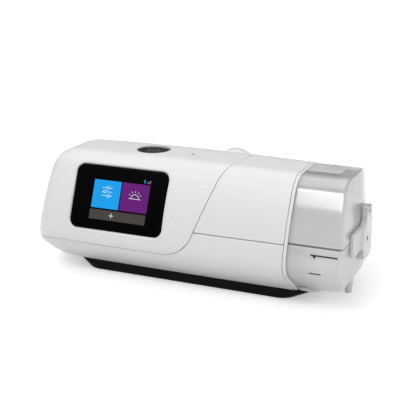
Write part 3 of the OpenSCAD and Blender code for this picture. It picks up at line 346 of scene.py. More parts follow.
# Cutting a panel out of a surface
# shares of the edge radius at which an edge's rounding is cut into facets
LEVELS = [0.0, 0.076, 0.293, 0.617, 1.0]
# how far outside, in edge radii, a triangle may reach before the cuts; and the slopes a field is read at
REACH, MIN_SLOPE, MAX_SLOPE = 4, 0.3, 3


class Panel:
    """Triangles on a surface, cut along fields. Each field is (function of points and (u, t), edge
    radius) and is above 0 inside the panel; the panel's edge is rounded with that radius."""

    def __init__(self, surface, us, ts, fields):
        self.s, self.fields = surface, fields
        u, t = np.meshgrid(us, ts, indexing="ij")
        self.u, self.t = u.ravel(), t.ravel()
        count = len(ts)
        a = (np.arange(len(us) - 1)[:, None] * count + np.arange(count - 1)[None]).ravel()
        b = a + count + 1
        self.f = np.concatenate([np.stack([a, a + count, b], 1), np.stack([a, b, a + 1], 1)])
        self.share = self.measure(self.u, self.t)[0]
        self.keep(np.max(self.share[self.f], 1) > -REACH)
        for level in LEVELS:
            self.split(level)
            if level == 0:
                self.keep(np.mean(self.share[self.f], 1) > 1e-6)

    def metric(self, u, t):
        """The surface's two ways at (u, t), their three products and the determinant."""
        pu, pt = self.s.ways(u, t)
        guu, gut, gtt = (np.sum(x * y, 1) for x, y in ((pu, pu), (pu, pt), (pt, pt)))
        return pu, pt, guu, gut, gtt, np.maximum(guu * gtt - gut**2, 1e-9)

    def slopes(self, value, u, t):
        """The change of value(u, t) along u and along t."""
        hu, ht = self.s.step_u, self.s.step_t
        along = (value(u + hu, t) - value(u - hu, t)) / (2 * hu)
        return along, (value(u, t + ht) - value(u, t - ht)) / (2 * ht)

    def measure(self, u, t):
        """Distance to the panel's edge along the surface, in edge radii; and the nearest field's radius."""
        p = self.s.at(u, t)
        _, _, guu, gut, gtt, det = self.metric(u, t)
        best = np.full(len(u), np.inf)
        radius = np.zeros(len(u))
        for field, r in self.fields:
            fu, ft = self.slopes(lambda a, b: field(self.s.at(a, b), a, b), u, t)
            steep = (gtt * fu**2 - 2 * gut * fu * ft + guu * ft**2) / det
            slope = np.sqrt(np.maximum(steep, MIN_SLOPE**2))
            share = field(p, u, t) / np.minimum(slope, MAX_SLOPE) / r
            near = share < best
            best = np.where(near, share, best)
            radius = np.where(near, r, radius)
        return best, radius

    def edges(self):
        return np.concatenate([self.f[:, [0, 1]], self.f[:, [1, 2]], self.f[:, [2, 0]]])

    def keep(self, mask):
        self.f = self.f[mask]
        used, self.f = np.unique(self.f, return_inverse=True)
        self.f = self.f.reshape(-1, 3)
        self.u, self.t, self.share = self.u[used], self.t[used], self.share[used]

    def split(self, level):
        """Cuts each triangle that the level crosses, so that no triangle straddles it."""
        g = self.share - level
        g[np.abs(g) < 0.01] = 0
        self.share = g + level
        edges, where = np.unique(np.sort(self.edges(), 1), axis=0, return_inverse=True)
        where = where.reshape(3, -1).T
        crossed = g[edges[:, 0]] * g[edges[:, 1]] < 0
        e = edges[crossed]
        low, high = np.zeros(len(e)), np.ones(len(e))
        g_low, g_high = g[e[:, 0]].copy(), g[e[:, 1]].copy()
        for _ in range(5):
            w = np.clip(g_low / (g_low - g_high), 0.08, 0.92) * (high - low) + low
            u = self.u[e[:, 0]] * (1 - w) + self.u[e[:, 1]] * w
            t = self.t[e[:, 0]] * (1 - w) + self.t[e[:, 1]] * w
            value = self.measure(u, t)[0] - level
            same = value * g_low > 0
            low, g_low = np.where(same, w, low), np.where(same, value, g_low)
            high, g_high = np.where(same, high, w), np.where(same, g_high, value)
        w = np.clip(g_low / (g_low - g_high + 1e-12), 0, 1) * (high - low) + low
        number = np.full(len(edges), -1)
        number[crossed] = len(self.u) + np.arange(len(e))
        self.u = np.concatenate([self.u, self.u[e[:, 0]] * (1 - w) + self.u[e[:, 1]] * w])
        self.t = np.concatenate([self.t, self.t[e[:, 0]] * (1 - w) + self.t[e[:, 1]] * w])
        self.share = np.concatenate([self.share, np.full(len(e), level)])
        cut = number[where]
        hits = (cut >= 0).sum(1)
        out = [self.f[hits == 0]]
        for k in range(3):
            a, b, c = (self.f[:, (k + j) % 3] for j in range(3))
            ab, bc, ca = (cut[:, (k + j) % 3] for j in range(3))
            two = (hits == 2) & (ab >= 0) & (ca >= 0)
            out += [np.stack(x, 1)[two] for x in ((a, ab, ca), (ab, b, c), (ab, c, ca))]
            one = (hits == 1) & (bc >= 0)
            out += [np.stack(x, 1)[one] for x in ((a, b, bc), (a, bc, c))]
        self.f = np.concatenate(out)

    def outward(self):
        """At each vertex, the way along the surface towards the panel's nearest edge."""
        pu, pt, guu, gut, gtt, det = self.metric(self.u, self.t)
        su, st = self.slopes(lambda a, b: self.measure(a, b)[0], self.u, self.t)
        a, b = (gtt * su - gut * st) / det, (guu * st - gut * su) / det
        return -unit(a[:, None] * pu + b[:, None] * pt)

    def mesh(self, wall, push=None):
        """Outer skin with rounded edges, rim and inner skin: points, triangles and a normal per corner."""
        p, n = self.s.at(self.u, self.t), self.s.normal(self.u, self.t)
        if push is not None:
            p = p + n * push(p)[:, None]
        out = self.outward()
        radius = self.measure(self.u, self.t)[1][:, None]
        sine = np.clip(1 - self.share, 0, 1)[:, None]
        cosine = np.sqrt(1 - sine**2)
        out = unit(out - n * np.sum(out * n, 1)[:, None])
        outer, outer_n = p - n * radius * (1 - cosine), unit(n * cosine + out * sine)
        depth = wall(p)[:, None] if callable(wall) else wall
        inner = p - n * np.maximum(depth, radius)
        edges = self.edges()
        _, first, count = np.unique(np.sort(edges, 1), axis=0, return_index=True, return_counts=True)
        rim = edges[first[count == 1]]
        rim = rim[(np.abs(self.share[rim]) < 0.02).all(1)]
        m = len(p)
        points = np.concatenate([outer, inner])
        faces = [self.f, self.f[:, ::-1] + m]
        normals = [outer_n[self.f], -n[self.f[:, ::-1]]]
        a, b = rim[:, 0], rim[:, 1]
        faces += [np.stack([b, a, a + m], 1), np.stack([b, a + m, b + m], 1)]
        normals += [np.stack([out[b], out[a], out[a]], 1), np.stack([out[b], out[a], out[b]], 1)]
        return points, np.concatenate(faces), np.concatenate(normals)


# Making objects
def new_object(name, mesh, body, material, replaced=()):
    """Puts a mesh into the scene: its material, the body it rides on, the nodes it replaces."""
    obj = bpy.data.objects.new(name, mesh)
    bpy.context.scene.collection.objects.link(obj)
    mesh.materials.append(material)
    if replaced:
        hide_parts(*replaced)
    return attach(obj, body)


def mesh_from(name, points, faces, normals):
    """A mesh from points in millimetres; equal points are joined and empty faces dropped."""
    _, first, number = np.unique(np.round(points, 3), axis=0, return_index=True, return_inverse=True)
    faces = number.reshape(-1)[faces]
    good = (faces[:, 0] != faces[:, 1]) & (faces[:, 1] != faces[:, 2]) & (faces[:, 2] != faces[:, 0])
    _, single = np.unique(np.sort(faces[good], 1), axis=0, return_index=True)
    single = np.sort(single)
    faces, normals = faces[good][single], normals[good][single]
    mesh = bpy.data.meshes.new(name)
    mesh.from_pydata((points[first] * MM).tolist(), [], faces.tolist())
    mesh.polygons.foreach_set("use_smooth", [True] * len(faces))
    mesh.normals_split_custom_set(normals.reshape(-1, 3).tolist())
    mesh.update()
    return mesh


def shade(mesh, smooth):
    """Shades a mesh smooth, but for edges above an angle in degrees."""
    mesh.polygons.foreach_set("use_smooth", [True] * len(mesh.polygons))
    mesh.set_sharp_from_angle(angle=math.radians(smooth))
    mesh.update()


def loft(name, rings, close=False, smooth=32):
    """Quads between rings of equal size, in order; the first and last ring are filled unless it closes."""
    count, size = len(rings), len(rings[0])
    points = np.concatenate(rings) * MM
    i = np.arange(size)
    j = (i + 1) % size
    faces = []
    for k in range(count if close else count - 1):
        a, b = k * size, ((k + 1) % count) * size
        faces += np.stack([a + i, a + j, b + j, b + i], 1).tolist()
    if not close:
        faces += [list(range(size - 1, -1, -1)), [(count - 1) * size + k for k in range(size)]]
    mesh = bpy.data.meshes.new(name)
    mesh.from_pydata(points.tolist(), [], faces)
    tidy_mesh(mesh, smooth)
    return mesh


def tidy_mesh(mesh, smooth):
    """Joins equal points, turns all faces outwards and shades it smooth below an angle in degrees."""
    bm = bmesh.new()
    bm.from_mesh(mesh)
    bmesh.ops.remove_doubles(bm, verts=bm.verts, dist=1e-6)
    bmesh.ops.recalc_face_normals(bm, faces=bm.faces)
    bm.to_mesh(mesh)
    bm.free()
    shade(mesh, smooth)


def join_meshes(name, meshes, smooth=32):
    """One mesh from several, which are removed."""
    bm = bmesh.new()
    for m in meshes:
        bm.from_mesh(m)
    out = bpy.data.meshes.new(name)
    bm.to_mesh(out)
    bm.free()
    for m in meshes:
        bpy.data.meshes.remove(m)
    shade(out, smooth)
    return out


def solid(name, rings, body, material, slot, replaced=(), **how):
    """An object lofted from rings."""
    return new_object(name, loft(name, rings, **how), body, material, replaced)


def rounded_rect(w, h, r, steps=8):
    """Points of a rounded rectangle, centred, anticlockwise."""
    r = max(r, 0.01)
    out = []
    for sx, sy, a0 in ((1, 1, 0), (-1, 1, 90), (-1, -1, 180), (1, -1, 270)):
        for k in range(steps + 1):
            a = math.radians(a0 + 90 * k / steps)
            out.append((sx * (w / 2 - r) + r * math.cos(a), sy * (h / 2 - r) + r * math.sin(a)))
    return np.array(out)


def moved(points, x, y):
    """An outline moved by (x, y)."""
    return np.asarray(points) + [x, y]


def block(w, h, r, x, y, steps=2):
    """A rounded rectangle centred at (x, y)."""
    return moved(rounded_rect(w, h, r, steps), x, y)


def flat(points2, z):
    """Points (x, y) at one height."""
    return np.column_stack([points2, np.full(len(points2), z)])


def edge_steps(r, count=5):
    """Pairs (how far in, how far down) round an edge of radius r, from the side to the face."""
    return [(r * (1 - math.cos(a)), r * (1 - math.sin(a))) for a in np.linspace(0, math.pi / 2, count)]


def plate_rings(outline, low, high, r_low, r_high):
    """Rings of a plate from z = low to high, where outline(inset) gives its points."""
    rings = [flat(outline(i), low + d) for i, d in reversed(edge_steps(r_low))]
    rings += [flat(outline(i), high - d) for i, d in edge_steps(r_high)]
    return rings


def placed(rings, matrix):
    """The rings in the place and way that the matrix gives."""
    m = np.array(matrix)
    return [r @ m[:3, :3].T + m[:3, 3] for r in rings]


def lathe_rings(profile, steps):
    """Rings round the z axis for (radius, height) pairs."""
    a = np.linspace(0, 2 * math.pi, steps, endpoint=False)
    return [np.column_stack([r * np.cos(a), r * np.sin(a), np.full(steps, h)]) for r, h in profile]


def lathe(name, profile, sides, at, **how):
    """A body turned about its axis from (radius, height) pairs, set in its place."""
    return loft(name, placed(lathe_rings(profile, sides), at), **how)


def turn_to(origin, about_x=0.0, about_y=0.0):
    """A place and way: turned about x, then about y, by degrees, and moved to the origin given."""
    return (
        Matrix.Translation(Vector(origin))
        @ Matrix.Rotation(math.radians(about_y), 4, "Y")
        @ Matrix.Rotation(math.radians(about_x), 4, "X")
    )


AT_SCREEN = turn_to(SCREEN, about_x=90 - SCREEN_TILT)
AT_BUTTON = turn_to(BUTTON, about_x=-BUTTON_TILT)
AT_OUTLET = turn_to((OUTLET_X, 0, OUTLET_Z), about_x=-90)


# Materials
class Nodes:
    """A node tree with short ways to add to it. An input is set to a number or joined to a socket."""

    def __init__(self, tree):
        self.tree = tree

    def put(self, node, **inputs):
        for key, value in inputs.items():
            socket = node.inputs[key.replace("_", " ")]
            if isinstance(value, bpy.types.NodeSocket):
                self.tree.links.new(value, socket)
            else:
                socket.default_value = value
        return node

    def add(self, kind, **inputs):
        return self.put(self.tree.nodes.new("ShaderNode" + kind), **inputs)

    def spread(self, source, low, high, smoothed=None):
        """Turns the source's 0 to 1, or the span smoothed, into low to high."""
        made = self.add("MapRange", Value=source, To_Min=low, To_Max=high)
        if smoothed:
            made.interpolation_type = "SMOOTHSTEP"
            self.put(made, From_Min=smoothed[0], From_Max=smoothed[1])
        return made.outputs["Result"]

    def math(self, operation, first, second):
        made = self.add("Math")
        made.operation = operation
        for socket, source in zip(made.inputs, (first, second)):
            self.tree.links.new(source, socket)
        return made.outputs[0]


class Recipe(Nodes):
    """A new material, made of textures that are read at the object's own place."""

    def __init__(self, name):
        self.material = bpy.data.materials.new(name)
        self.material.use_nodes = True
        super().__init__(self.material.node_tree)
        self.shader = self.tree.nodes["Principled BSDF"]
        self.place = self.add("TexCoord").outputs["Object"]

    def noise(self, scale, detail, roughness=0.5, place=None):
        made = self.add("TexNoise", Vector=place or self.place, Scale=scale, Detail=detail)
        return self.put(made, Roughness=roughness).outputs["Fac"]

    def cells(self, scale):
        return self.add("TexVoronoi", Vector=self.place, Scale=scale).outputs["Distance"]

    def ramp(self, source, low, high, at=(0, 1)):
        made = self.add("ValToRGB", Fac=source)
        for stop, colour, position in zip(made.color_ramp.elements, (low, high), at):
            stop.color = [*colour, 1]
            stop.position = position
        return made.outputs["Color"]

    def bump(self, source, strength, distance):
        return self.add("Bump", Height=source, Strength=strength, Distance=distance).outputs["Normal"]

    def finish(self, **inputs):
        self.put(self.shader, **inputs)
        return self.material


def darker(colour, share):
    return [max(c * share, 0) for c in colour]


def lighter(colour, share):
    return [min(c * share, 1) for c in colour]


def plastic(
    name,
    colour,
    roughness=0.35,
    vary=0.02,
    grain_mm=0.6,
    bump=0.05,
    rough_vary=0.06,
    coat=0.0,
    alpha=1.0,
    specular=0.5,
):
    """Moulded plastic: slight drift in colour, uneven gloss and a fine grain."""
    made = Recipe(name)
    drift, grain = made.noise(22.0, 2.0), made.noise(1000.0 / grain_mm, 3.0, 0.6)
    return made.finish(
        Base_Color=made.ramp(drift, darker(colour, 1 - vary), lighter(colour, 1 + vary), (0.3, 0.7)),
        Roughness=made.spread(drift, max(roughness - rough_vary, 0.02), roughness + rough_vary),
        Normal=made.bump(grain, bump, 0.00004),
        Coat_Weight=coat,
        Coat_Roughness=0.1,
        Specular_IOR_Level=specular,
        Alpha=alpha,
    )


def brushed(name, colour, roughness=0.3, stretch=(1, 12, 12)):
    """Metal with fine lines along one way."""
    made = Recipe(name)
    stretched = made.add("Mapping", Vector=made.place, Scale=stretch).outputs["Vector"]
    lines = made.noise(420.0, 4.0, 0.6, stretched)
    return made.finish(
        Base_Color=made.ramp(lines, darker(colour, 0.82), lighter(colour, 1.1)),
        Roughness=made.spread(lines, roughness - 0.08, roughness + 0.12),
        Metallic=1.0,
    )


def circuit_board(name):
    """Green solder mask with copper tracks showing through and pale pads."""
    made = Recipe(name)
    tracks = made.cells(260.0)
    tracks.node.distance = "MANHATTAN"
    shades = made.ramp(tracks, (0.42, 0.36, 0.2), (0.012, 0.14, 0.055), (0, 0.16))
    stops = shades.node.color_ramp
    stops.interpolation = "CONSTANT"
    stops.elements.new(0.62).color = (0.02, 0.2, 0.08, 1)
    return made.finish(Base_Color=shades, Roughness=0.35)


def cellular(name, colour, cell_mm, depth=0.6, roughness=0.95):
    """Open foam or felt: cells or fibres in bump and colour."""
    made = Recipe(name)
    cells = made.cells(1000.0 / cell_mm)
    return made.finish(
        Base_Color=made.ramp(cells, darker(colour, 0.35), colour),
        Normal=made.bump(cells, depth, 0.0004),
        Roughness=roughness,
    )


def lit(name, colour, second):
    """A lit area of the display: its colour drifts slightly from one end to the other, under gloss."""
    made = Recipe(name)
    return made.finish(
        Emission_Color=made.ramp(made.noise(30.0, 1.0), colour, second),
        Emission_Strength=1.0,
        Base_Color=(0.006, 0.006, 0.007, 1),
        Roughness=0.12,
        Specular_IOR_Level=0.3,
    )


SHELL = plastic(
    "shell_white", (0.85, 0.842, 0.828), roughness=0.4, vary=0.006, grain_mm=0.5, bump=0.08, coat=0.1
)
RING = plastic("ring_white", (0.86, 0.86, 0.855), roughness=0.4, vary=0.006)
BAY = plastic("bay_grey", (0.8, 0.8, 0.8), roughness=0.45)
BASE = plastic(
    "base_black", (0.009, 0.008, 0.008), roughness=0.5, vary=0.15, grain_mm=0.35, bump=0.4, specular=0.06
)
RUBBER = plastic("rubber_black", (0.03, 0.03, 0.03), roughness=0.8, vary=0.1, grain_mm=0.3, bump=0.5)
GLASS = plastic(
    "glass_black", (0.002, 0.002, 0.0022), roughness=0.07, vary=0.2, bump=0.0, rough_vary=0.02, specular=0.05
)
PIANO = plastic(
    "button_black", (0.006, 0.006, 0.007), roughness=0.22, vary=0.1, bump=0.02, rough_vary=0.04, specular=0.06
)
DARK = plastic("plastic_dark", (0.035, 0.035, 0.038), roughness=0.5, vary=0.1, grain_mm=0.4, bump=0.3)
GREY = plastic("plastic_grey", (0.36, 0.37, 0.38), roughness=0.5, vary=0.03, grain_mm=0.5, bump=0.15)
PALE = plastic("plastic_pale", (0.72, 0.72, 0.71), roughness=0.42, vary=0.02)
GUIDE = plastic("guide_milky", (0.75, 0.85, 0.78), roughness=0.3, alpha=0.8)
STEEL = brushed("steel", (0.6, 0.6, 0.61))
ALUMINIUM = brushed("aluminium", (0.72, 0.73, 0.74), roughness=0.35, stretch=(12, 1, 12))
COPPER = brushed("copper_wound", (0.72, 0.33, 0.16), roughness=0.35, stretch=(12, 12, 1))
BOARD = circuit_board("board_green")
RIBBON = plastic("ribbon_amber", (0.5, 0.24, 0.04), roughness=0.3, vary=0.2, coat=0.4)
FOAM = cellular("foam_grey", (0.13, 0.13, 0.14), 1.1)
FELT = cellular("filter_felt", (0.74, 0.78, 0.82), 0.35, depth=0.4)
SILICONE = plastic("silicone", (0.55, 0.6, 0.62), roughness=0.4, alpha=0.85, grain_mm=1.2)
SOFT = plastic("soft_rubber", (0.16, 0.155, 0.15), roughness=0.65, vary=0.08, grain_mm=0.4, bump=0.3)
FILM = plastic("heater_film", (0.5, 0.24, 0.05), roughness=0.35, vary=0.2)
MICA = cellular("mica_sheet", (0.62, 0.56, 0.46), 2.4, depth=0.15, roughness=0.5)
CARD = plastic("card_blue", (0.03, 0.07, 0.2), roughness=0.45, vary=0.1)
SEAL = plastic("seal_taupe", (0.4, 0.375, 0.355), roughness=0.55, vary=0.06)
INK = plastic("print_grey", (0.035, 0.037, 0.042), roughness=0.6, vary=0.2)
GLYPH = plastic("print_silver", (0.13, 0.135, 0.14), roughness=0.35, vary=0.1)


def frosted(name, colour, alpha, roughness, grain_mm, darkening=None, coat=0.5, specular=0.6, coat_ior=1.5):
    """Frosted clear plastic, seen through in part: cloudier in some places than in others. The last
    argument is (axis, from mm, to mm, level there, level here): the colour is scaled by that level along an
    axis."""
    material = plastic(name, colour, roughness, 0.015, grain_mm, bump=0.1, coat=coat, specular=specular)
    made = Nodes(material.node_tree)
    shader = made.tree.nodes["Principled BSDF"]
    place = made.add("TexCoord").outputs["Object"]
    cloud = made.add("TexNoise", Vector=place, Scale=14.0, Detail=2.0).outputs["Fac"]
    made.put(shader, Alpha=made.spread(cloud, alpha - 0.05, alpha + 0.05), Coat_IOR=coat_ior)
    # the colour scaled along an axis: painted shade on the tub's base, darker towards the top on the lid
    if darkening:
        axis, start, end, low, high = darkening
        along = made.add("SeparateXYZ", Vector=place).outputs[axis]
        level = made.spread(along, low, high, (start * MM, end * MM))
        dimmed = made.add("VectorMath")
        dimmed.operation = "SCALE"
        made.put(dimmed, Scale=level)
        made.tree.links.new(shader.inputs["Base Color"].links[0].from_socket, dimmed.inputs[0])
        made.put(shader, Base_Color=dimmed.outputs["Vector"])
    return material


CLEAR = (0.95, 0.945, 0.955)
# painted shade: the base's colour darkens from x = 112 mm down to x = 92 mm, towards the bay
CLEAR_BASE = frosted("clear_base", CLEAR, 0.66, 0.32, 1.4, ("X", 92, 112, 0.86, 1.0))
# the lid's colour darkens from z = 56 mm up to z = 88 mm
CLEAR_LID = frosted(
    "clear_lid", CLEAR, 0.6, 0.16, 1.6, ("Z", 56, 88, 1.0, 0.76), coat=1.0, specular=1.0, coat_ior=1.8
)
CLEAR_LATCH = frosted("clear_latch", (0.84, 0.84, 0.84), 0.72, 0.22, 1.4)
GRIP = frosted("clear_grip", (0.88, 0.88, 0.87), 0.7, 0.4, 1.0)


# Casing panels
def seam_over_top():
    """Where the S-shaped seam crosses each height of the front, and on over the top: x by length t."""
    t = np.linspace(0, 2 * PROFILE_LINE.n, 9000)
    p = PROFILE_LINE.at(t, 0.0, FLOOR_Z)
    length = np.concatenate([[0], np.cumsum(np.linalg.norm(np.diff(p, axis=0), axis=1))])
    end = (BEND_X + BEND_R * math.sin(BEND_ANGLE), LOW_SEAM_Z + BEND_R - BEND_R * math.cos(BEND_ANGLE))
    first_y = OVER_TOP[0][0]
    straight = end[0] + (p[:, 1] - end[1]) / math.tan(BEND_ANGLE)
    x = np.where(p[:, 0] < first_y, straight, np.interp(p[:, 0], *zip(*OVER_TOP)))
    step, width = 0.5, 12.0
    even = np.arange(0, length[-1], step)
    values = np.interp(even, length, x)
    kernel = np.ones(int(width / step)) / int(width / step)
    padded = np.concatenate([np.full(len(kernel), values[0]), values, np.full(len(kernel), values[-1])])
    smooth = np.convolve(padded, kernel, "same")[len(kernel) : -len(kernel)]
    smoothed = np.interp(length, even, smooth)
    share = np.interp(p[:, 1], [end[1] + 8, end[1] + 16], [0, 1])
    return t, np.where(p[:, 0] < first_y, straight * (1 - share) + smoothed * share, smoothed)


SEAM_T, SEAM_X = seam_over_top()


def s_seam(p, u, t):
    """Signed distance from the S-shaped seam, above 0 on the screen's side."""
    seam_x = np.interp(t % (2 * PROFILE_LINE.n), SEAM_T, SEAM_X)
    straight = (seam_x - p[:, 0]) * math.sin(BEND_ANGLE)
    dx, dz = p[:, 0] - BEND_X, LOW_SEAM_Z + BEND_R - p[:, 2]
    angle = np.arctan2(dx, dz)
    bend = BEND_R - np.hypot(dx, dz)
    low = p[:, 2] - LOW_SEAM_Z
    front = np.where((dx < 0) & (dz > 0), low, np.where((angle < BEND_ANGLE) & (dz > 0), bend, straight))
    front = np.where((dx < 0) & (dz <= 0), np.minimum(low, straight), front)
    rear = np.where(p[:, 2] < REAR_SPLIT_Z, low, straight)
    return np.where(p[:, 1] < 0, front, rear)


def low_seam(p, u, t):
    return p[:, 2] - LOW_SEAM_Z


def mid_seam(p, u, t):
    return p[:, 2] - MID_SEAM_Z


def rear_seam(p, u, t):
    return REAR_SEAM_Y - p[:, 1]


def case_end(p, u, t):
    return CASE_END_X - p[:, 0]


def rect_distance(a, b, half_w, half_h, r):
    """Distance outside a rounded rectangle, below 0 inside."""
    qa, qb = np.abs(a) - half_w + r, np.abs(b) - half_h + r
    return np.hypot(np.maximum(qa, 0), np.maximum(qb, 0)) + np.minimum(np.maximum(qa, qb), 0) - r


FAR = 50


def wall_field(distance, on_wall):
    """A field that counts only on the wall where on_wall(points) holds, and is far inside elsewhere."""
    return lambda p, u, t: np.where(on_wall(p), distance(p), FAR)


def on_front(p):
    return p[:, 1] < -30


def on_rear(p):
    return p[:, 1] > 40


def on_top(p):
    return p[:, 2] > 80


def on_left(p):
    return p[:, 0] < CARD_DOOR_X


def from_window(p):
    """Distance outside the screen's window."""
    tilt = math.radians(SCREEN_TILT)
    across = p[:, 0] - SCREEN[0]
    up = (p[:, 2] - SCREEN[2]) * math.cos(tilt) + (p[:, 1] - SCREEN[1]) * math.sin(tilt)
    half_w, half_h = SCREEN_W / 2 + WINDOW_GAP, SCREEN_H / 2 + WINDOW_GAP
    return rect_distance(across, up, half_w, half_h, SCREEN_R + WINDOW_GAP)


window = wall_field(from_window, on_front)


def disc(x, y, r):
    """Outside a round hole in the top."""
    return wall_field(lambda p: np.hypot(p[:, 0] - x, p[:, 1] - y) - r, on_top)


def opening(axis, across, high, corner, on_wall, grow):
    """Outside a rounded opening in a wall, which spans across along an axis and high along z."""
    mid_a, mid_z = sum(across) / 2, sum(high) / 2
    half_a, half_z = (across[1] - across[0]) / 2 + grow, (high[1] - high[0]) / 2 + grow

    def distance(p):
        return rect_distance(p[:, axis] - mid_a, p[:, 2] - mid_z, half_a, half_z, corner + grow)

    return wall_field(distance, on_wall)


def card_door(grow):
    return opening(1, CARD_DOOR_Y, CARD_DOOR_Z, 1.8, on_left, grow)


def filter_door(grow):
    return opening(0, FILTER_DOOR_X, FILTER_DOOR_Z, 1.2, on_rear, grow)


inlet_hole = opening(0, INLET_X, INLET_Z, 0.5, on_rear, 0.1)
outlet_hole = wall_field(lambda p: np.hypot(p[:, 0] - OUTLET_X, p[:, 2] - OUTLET_Z) - BOSS_BORE - 2, on_rear)


def behind(field):
    """The other side of a field."""
    return lambda p, u, t: -field(p, u, t)


def gap(field):
    """The field less half a seam."""
    return lambda p, u, t: field(p, u, t) - SEAM_HALF


def lower_region(p, u, t):
    """Inside the lower housing: under the S-shaped seam and the middle seam, at the rear the low one."""
    front = np.minimum(-s_seam(p, u, t), MID_SEAM_Z - p[:, 2])
    return np.where(p[:, 1] < 0, front, LOW_SEAM_Z - p[:, 2])


def rear_region(p, u, t):
    """Inside the rear cover."""
    return np.where(p[:, 1] > 0, -rear_seam(p, u, t), -FAR)


def upper_right(p, u, t):
    """Above the middle seam in front and the low seam behind."""
    return np.where(p[:, 1] < 0, mid_seam(p, u, t), low_seam(p, u, t))


COLUMNS = casing.columns(1.7)
ROWS = PROFILE_LINE.places(1.8)


def shell(name, fields, wall=WALL, replaced=(), body="machine", extra=()):
    """A white panel of the casing, cut along the fields."""
    panel = Panel(casing, COLUMNS, ROWS, fields)
    mesh = mesh_from(name, *panel.mesh(wall))
    if extra:
        mesh = add_extra(name, mesh, extra)
    return new_object(name, mesh, body, SHELL, replaced)


def add_extra(name, mesh, extra):
    """Joins further meshes to one that has its own normals, keeping those."""
    base = bpy.data.objects.new(name, mesh)
    others = [bpy.data.objects.new(m.name, m) for m in extra]
    both = [base, *others]
    for o in both:
        bpy.context.scene.collection.objects.link(o)
    with bpy.context.temp_override(active_object=base, selected_editable_objects=both, selected_objects=both):
        bpy.ops.object.join()
    out = base.data
    bpy.data.objects.remove(base)
    return out


def seams(*fields):
    """The fields as panel edges, each half a seam short and rounded."""
    return [(gap(field), SEAM_ROUND) for field in fields]


AT_TUB_END = (gap(case_end), DOOR_EDGE)
shell(
    "fascia_shell",
    [
        *seams(s_seam, rear_seam, low_seam),
        (window, WINDOW_ROUND),
        (disc(BUTTON[0], BUTTON[1], BUTTON_R + BUTTON_GAP), RIM_EDGE),
        (disc(LENS_X, LENS_Y, LENS_HOLE), HOLE_EDGE),
        (card_door(0), DOOR_EDGE),
    ],
    replaced=["fascia"],
)
shell(
    "side_panel_shell",
    [*seams(behind(s_seam), upper_right, rear_seam), AT_TUB_END],
    replaced=["side_panel"],
)
shell(
    "lower_housing_shell",
    [*seams(lower_region), (inlet_hole, DOOR_EDGE), AT_TUB_END],
    replaced=["lower_housing"],
)


def boss_meshes():
    """The round outlet boss, with rounded shoulders; its upper half is drawn up to the casing's top line."""
    front, rear = BOSS_Y
    r, soft = 2.4, 4.0
    outer = [
        (BOSS_R - r + r * math.sin(a), rear - r + r * math.cos(a)) for a in np.linspace(0, math.pi / 2, 7)
    ]
    shoulder = [
        (BOSS_R - soft + soft * math.cos(a), front + soft - soft * math.sin(a))
        for a in np.linspace(0, math.pi / 2, 9)
    ]
    inner = [(BOSS_BORE, front)]
    inner += [(BOSS_BORE + i, rear - d) for i, d in ((0, 0.8), (0.25, 0.2), (0.8, 0))]
    rings = placed(lathe_rings(inner + outer + shoulder, 96), AT_OUTLET)
    for ring in rings:
        rise = ring[:, 2] - OUTLET_Z
        share = limit01((np.hypot(ring[:, 0] - OUTLET_X, rise) - BOSS_BORE - 0.9) / 2)
        ring[:, 2] += np.maximum(rise, 0) / BOSS_R * BOSS_RISE * share
    return [loft("boss", rings, close=True, smooth=40)]


shell(
    "rear_cover_shell",
    [*seams(rear_region, low_seam), AT_TUB_END, (filter_door(0.2), DOOR_EDGE), (outlet_hole, 0.2)],
    replaced=["rear_cover"],
    extra=boss_meshes(),
)
shell(
    "card_cover_shell",
    [(behind(card_door(-DOOR_GAP)), DOOR_EDGE)],
    wall=1.8,
    replaced=["card_cover"],
    body="card_door",
)


def vents(p, u, t):
    """Outside the upright slots of the filter door."""
    count, half_w, half_h = 7, 0.8, 5.5
    width = FILTER_DOOR_X[1] - FILTER_DOOR_X[0]
    places = FILTER_DOOR_X[0] + width * np.arange(1, count + 1) / (count + 1)
    nearest = np.min(np.abs(p[:, 0][:, None] - places[None]), 1)
    return rect_distance(nearest, p[:, 2] - sum(FILTER_DOOR_Z) / 2, half_w, half_h, 0.79)


def door_top(p, u, t):
    return FILTER_HINGE[1] + 0.5 - p[:, 2]


def hinge_barrel():
    """The tube along the filter door's upper edge, which the pin goes through."""
    bore, r, edge, length = 0.8, 1.5, 0.2, 47.3
    profile = [(bore, 0), (r - edge, 0), (r, edge), (r, length - edge), (r - edge, length), (bore, length)]
    at = turn_to((FILTER_DOOR_X[0] + DOOR_GAP, *FILTER_HINGE), about_y=90)
    return lathe("barrel", profile, 24, at, close=True)


shell(
    "filter_cover_shell",
    [(behind(filter_door(-DOOR_GAP)), DOOR_EDGE), (vents, HOLE_EDGE), (door_top, HOLE_EDGE)],
    wall=1.9,
    replaced=["filter_cover"],
    body="filter_door",
    extra=[hinge_barrel()],
)


# Raised dots round the screen
def dot_places(pitch):
    """Staggered rows up the fascia's front: each place's u and t."""
    left, right, back = -116, 40, -44
    t_line = np.linspace(2, 9, 3000)
    line = PROFILE_LINE.at(t_line, 0.0, FLOOR_Z)
    front = line[:, 0] < back
    length = np.concatenate([[0], np.cumsum(np.linalg.norm(np.diff(line, axis=0), axis=1))])
    places = []
    for row, along in enumerate(np.arange(length[front][0], length[front][-1], pitch * 0.866)):
        t = np.interp(along, length, t_line)
        for x in np.arange(left + (row % 2) * pitch / 2, right, pitch):
            places.append((float(casing.u_at(np.array([x]))[0]), t))
    return np.array(places).T


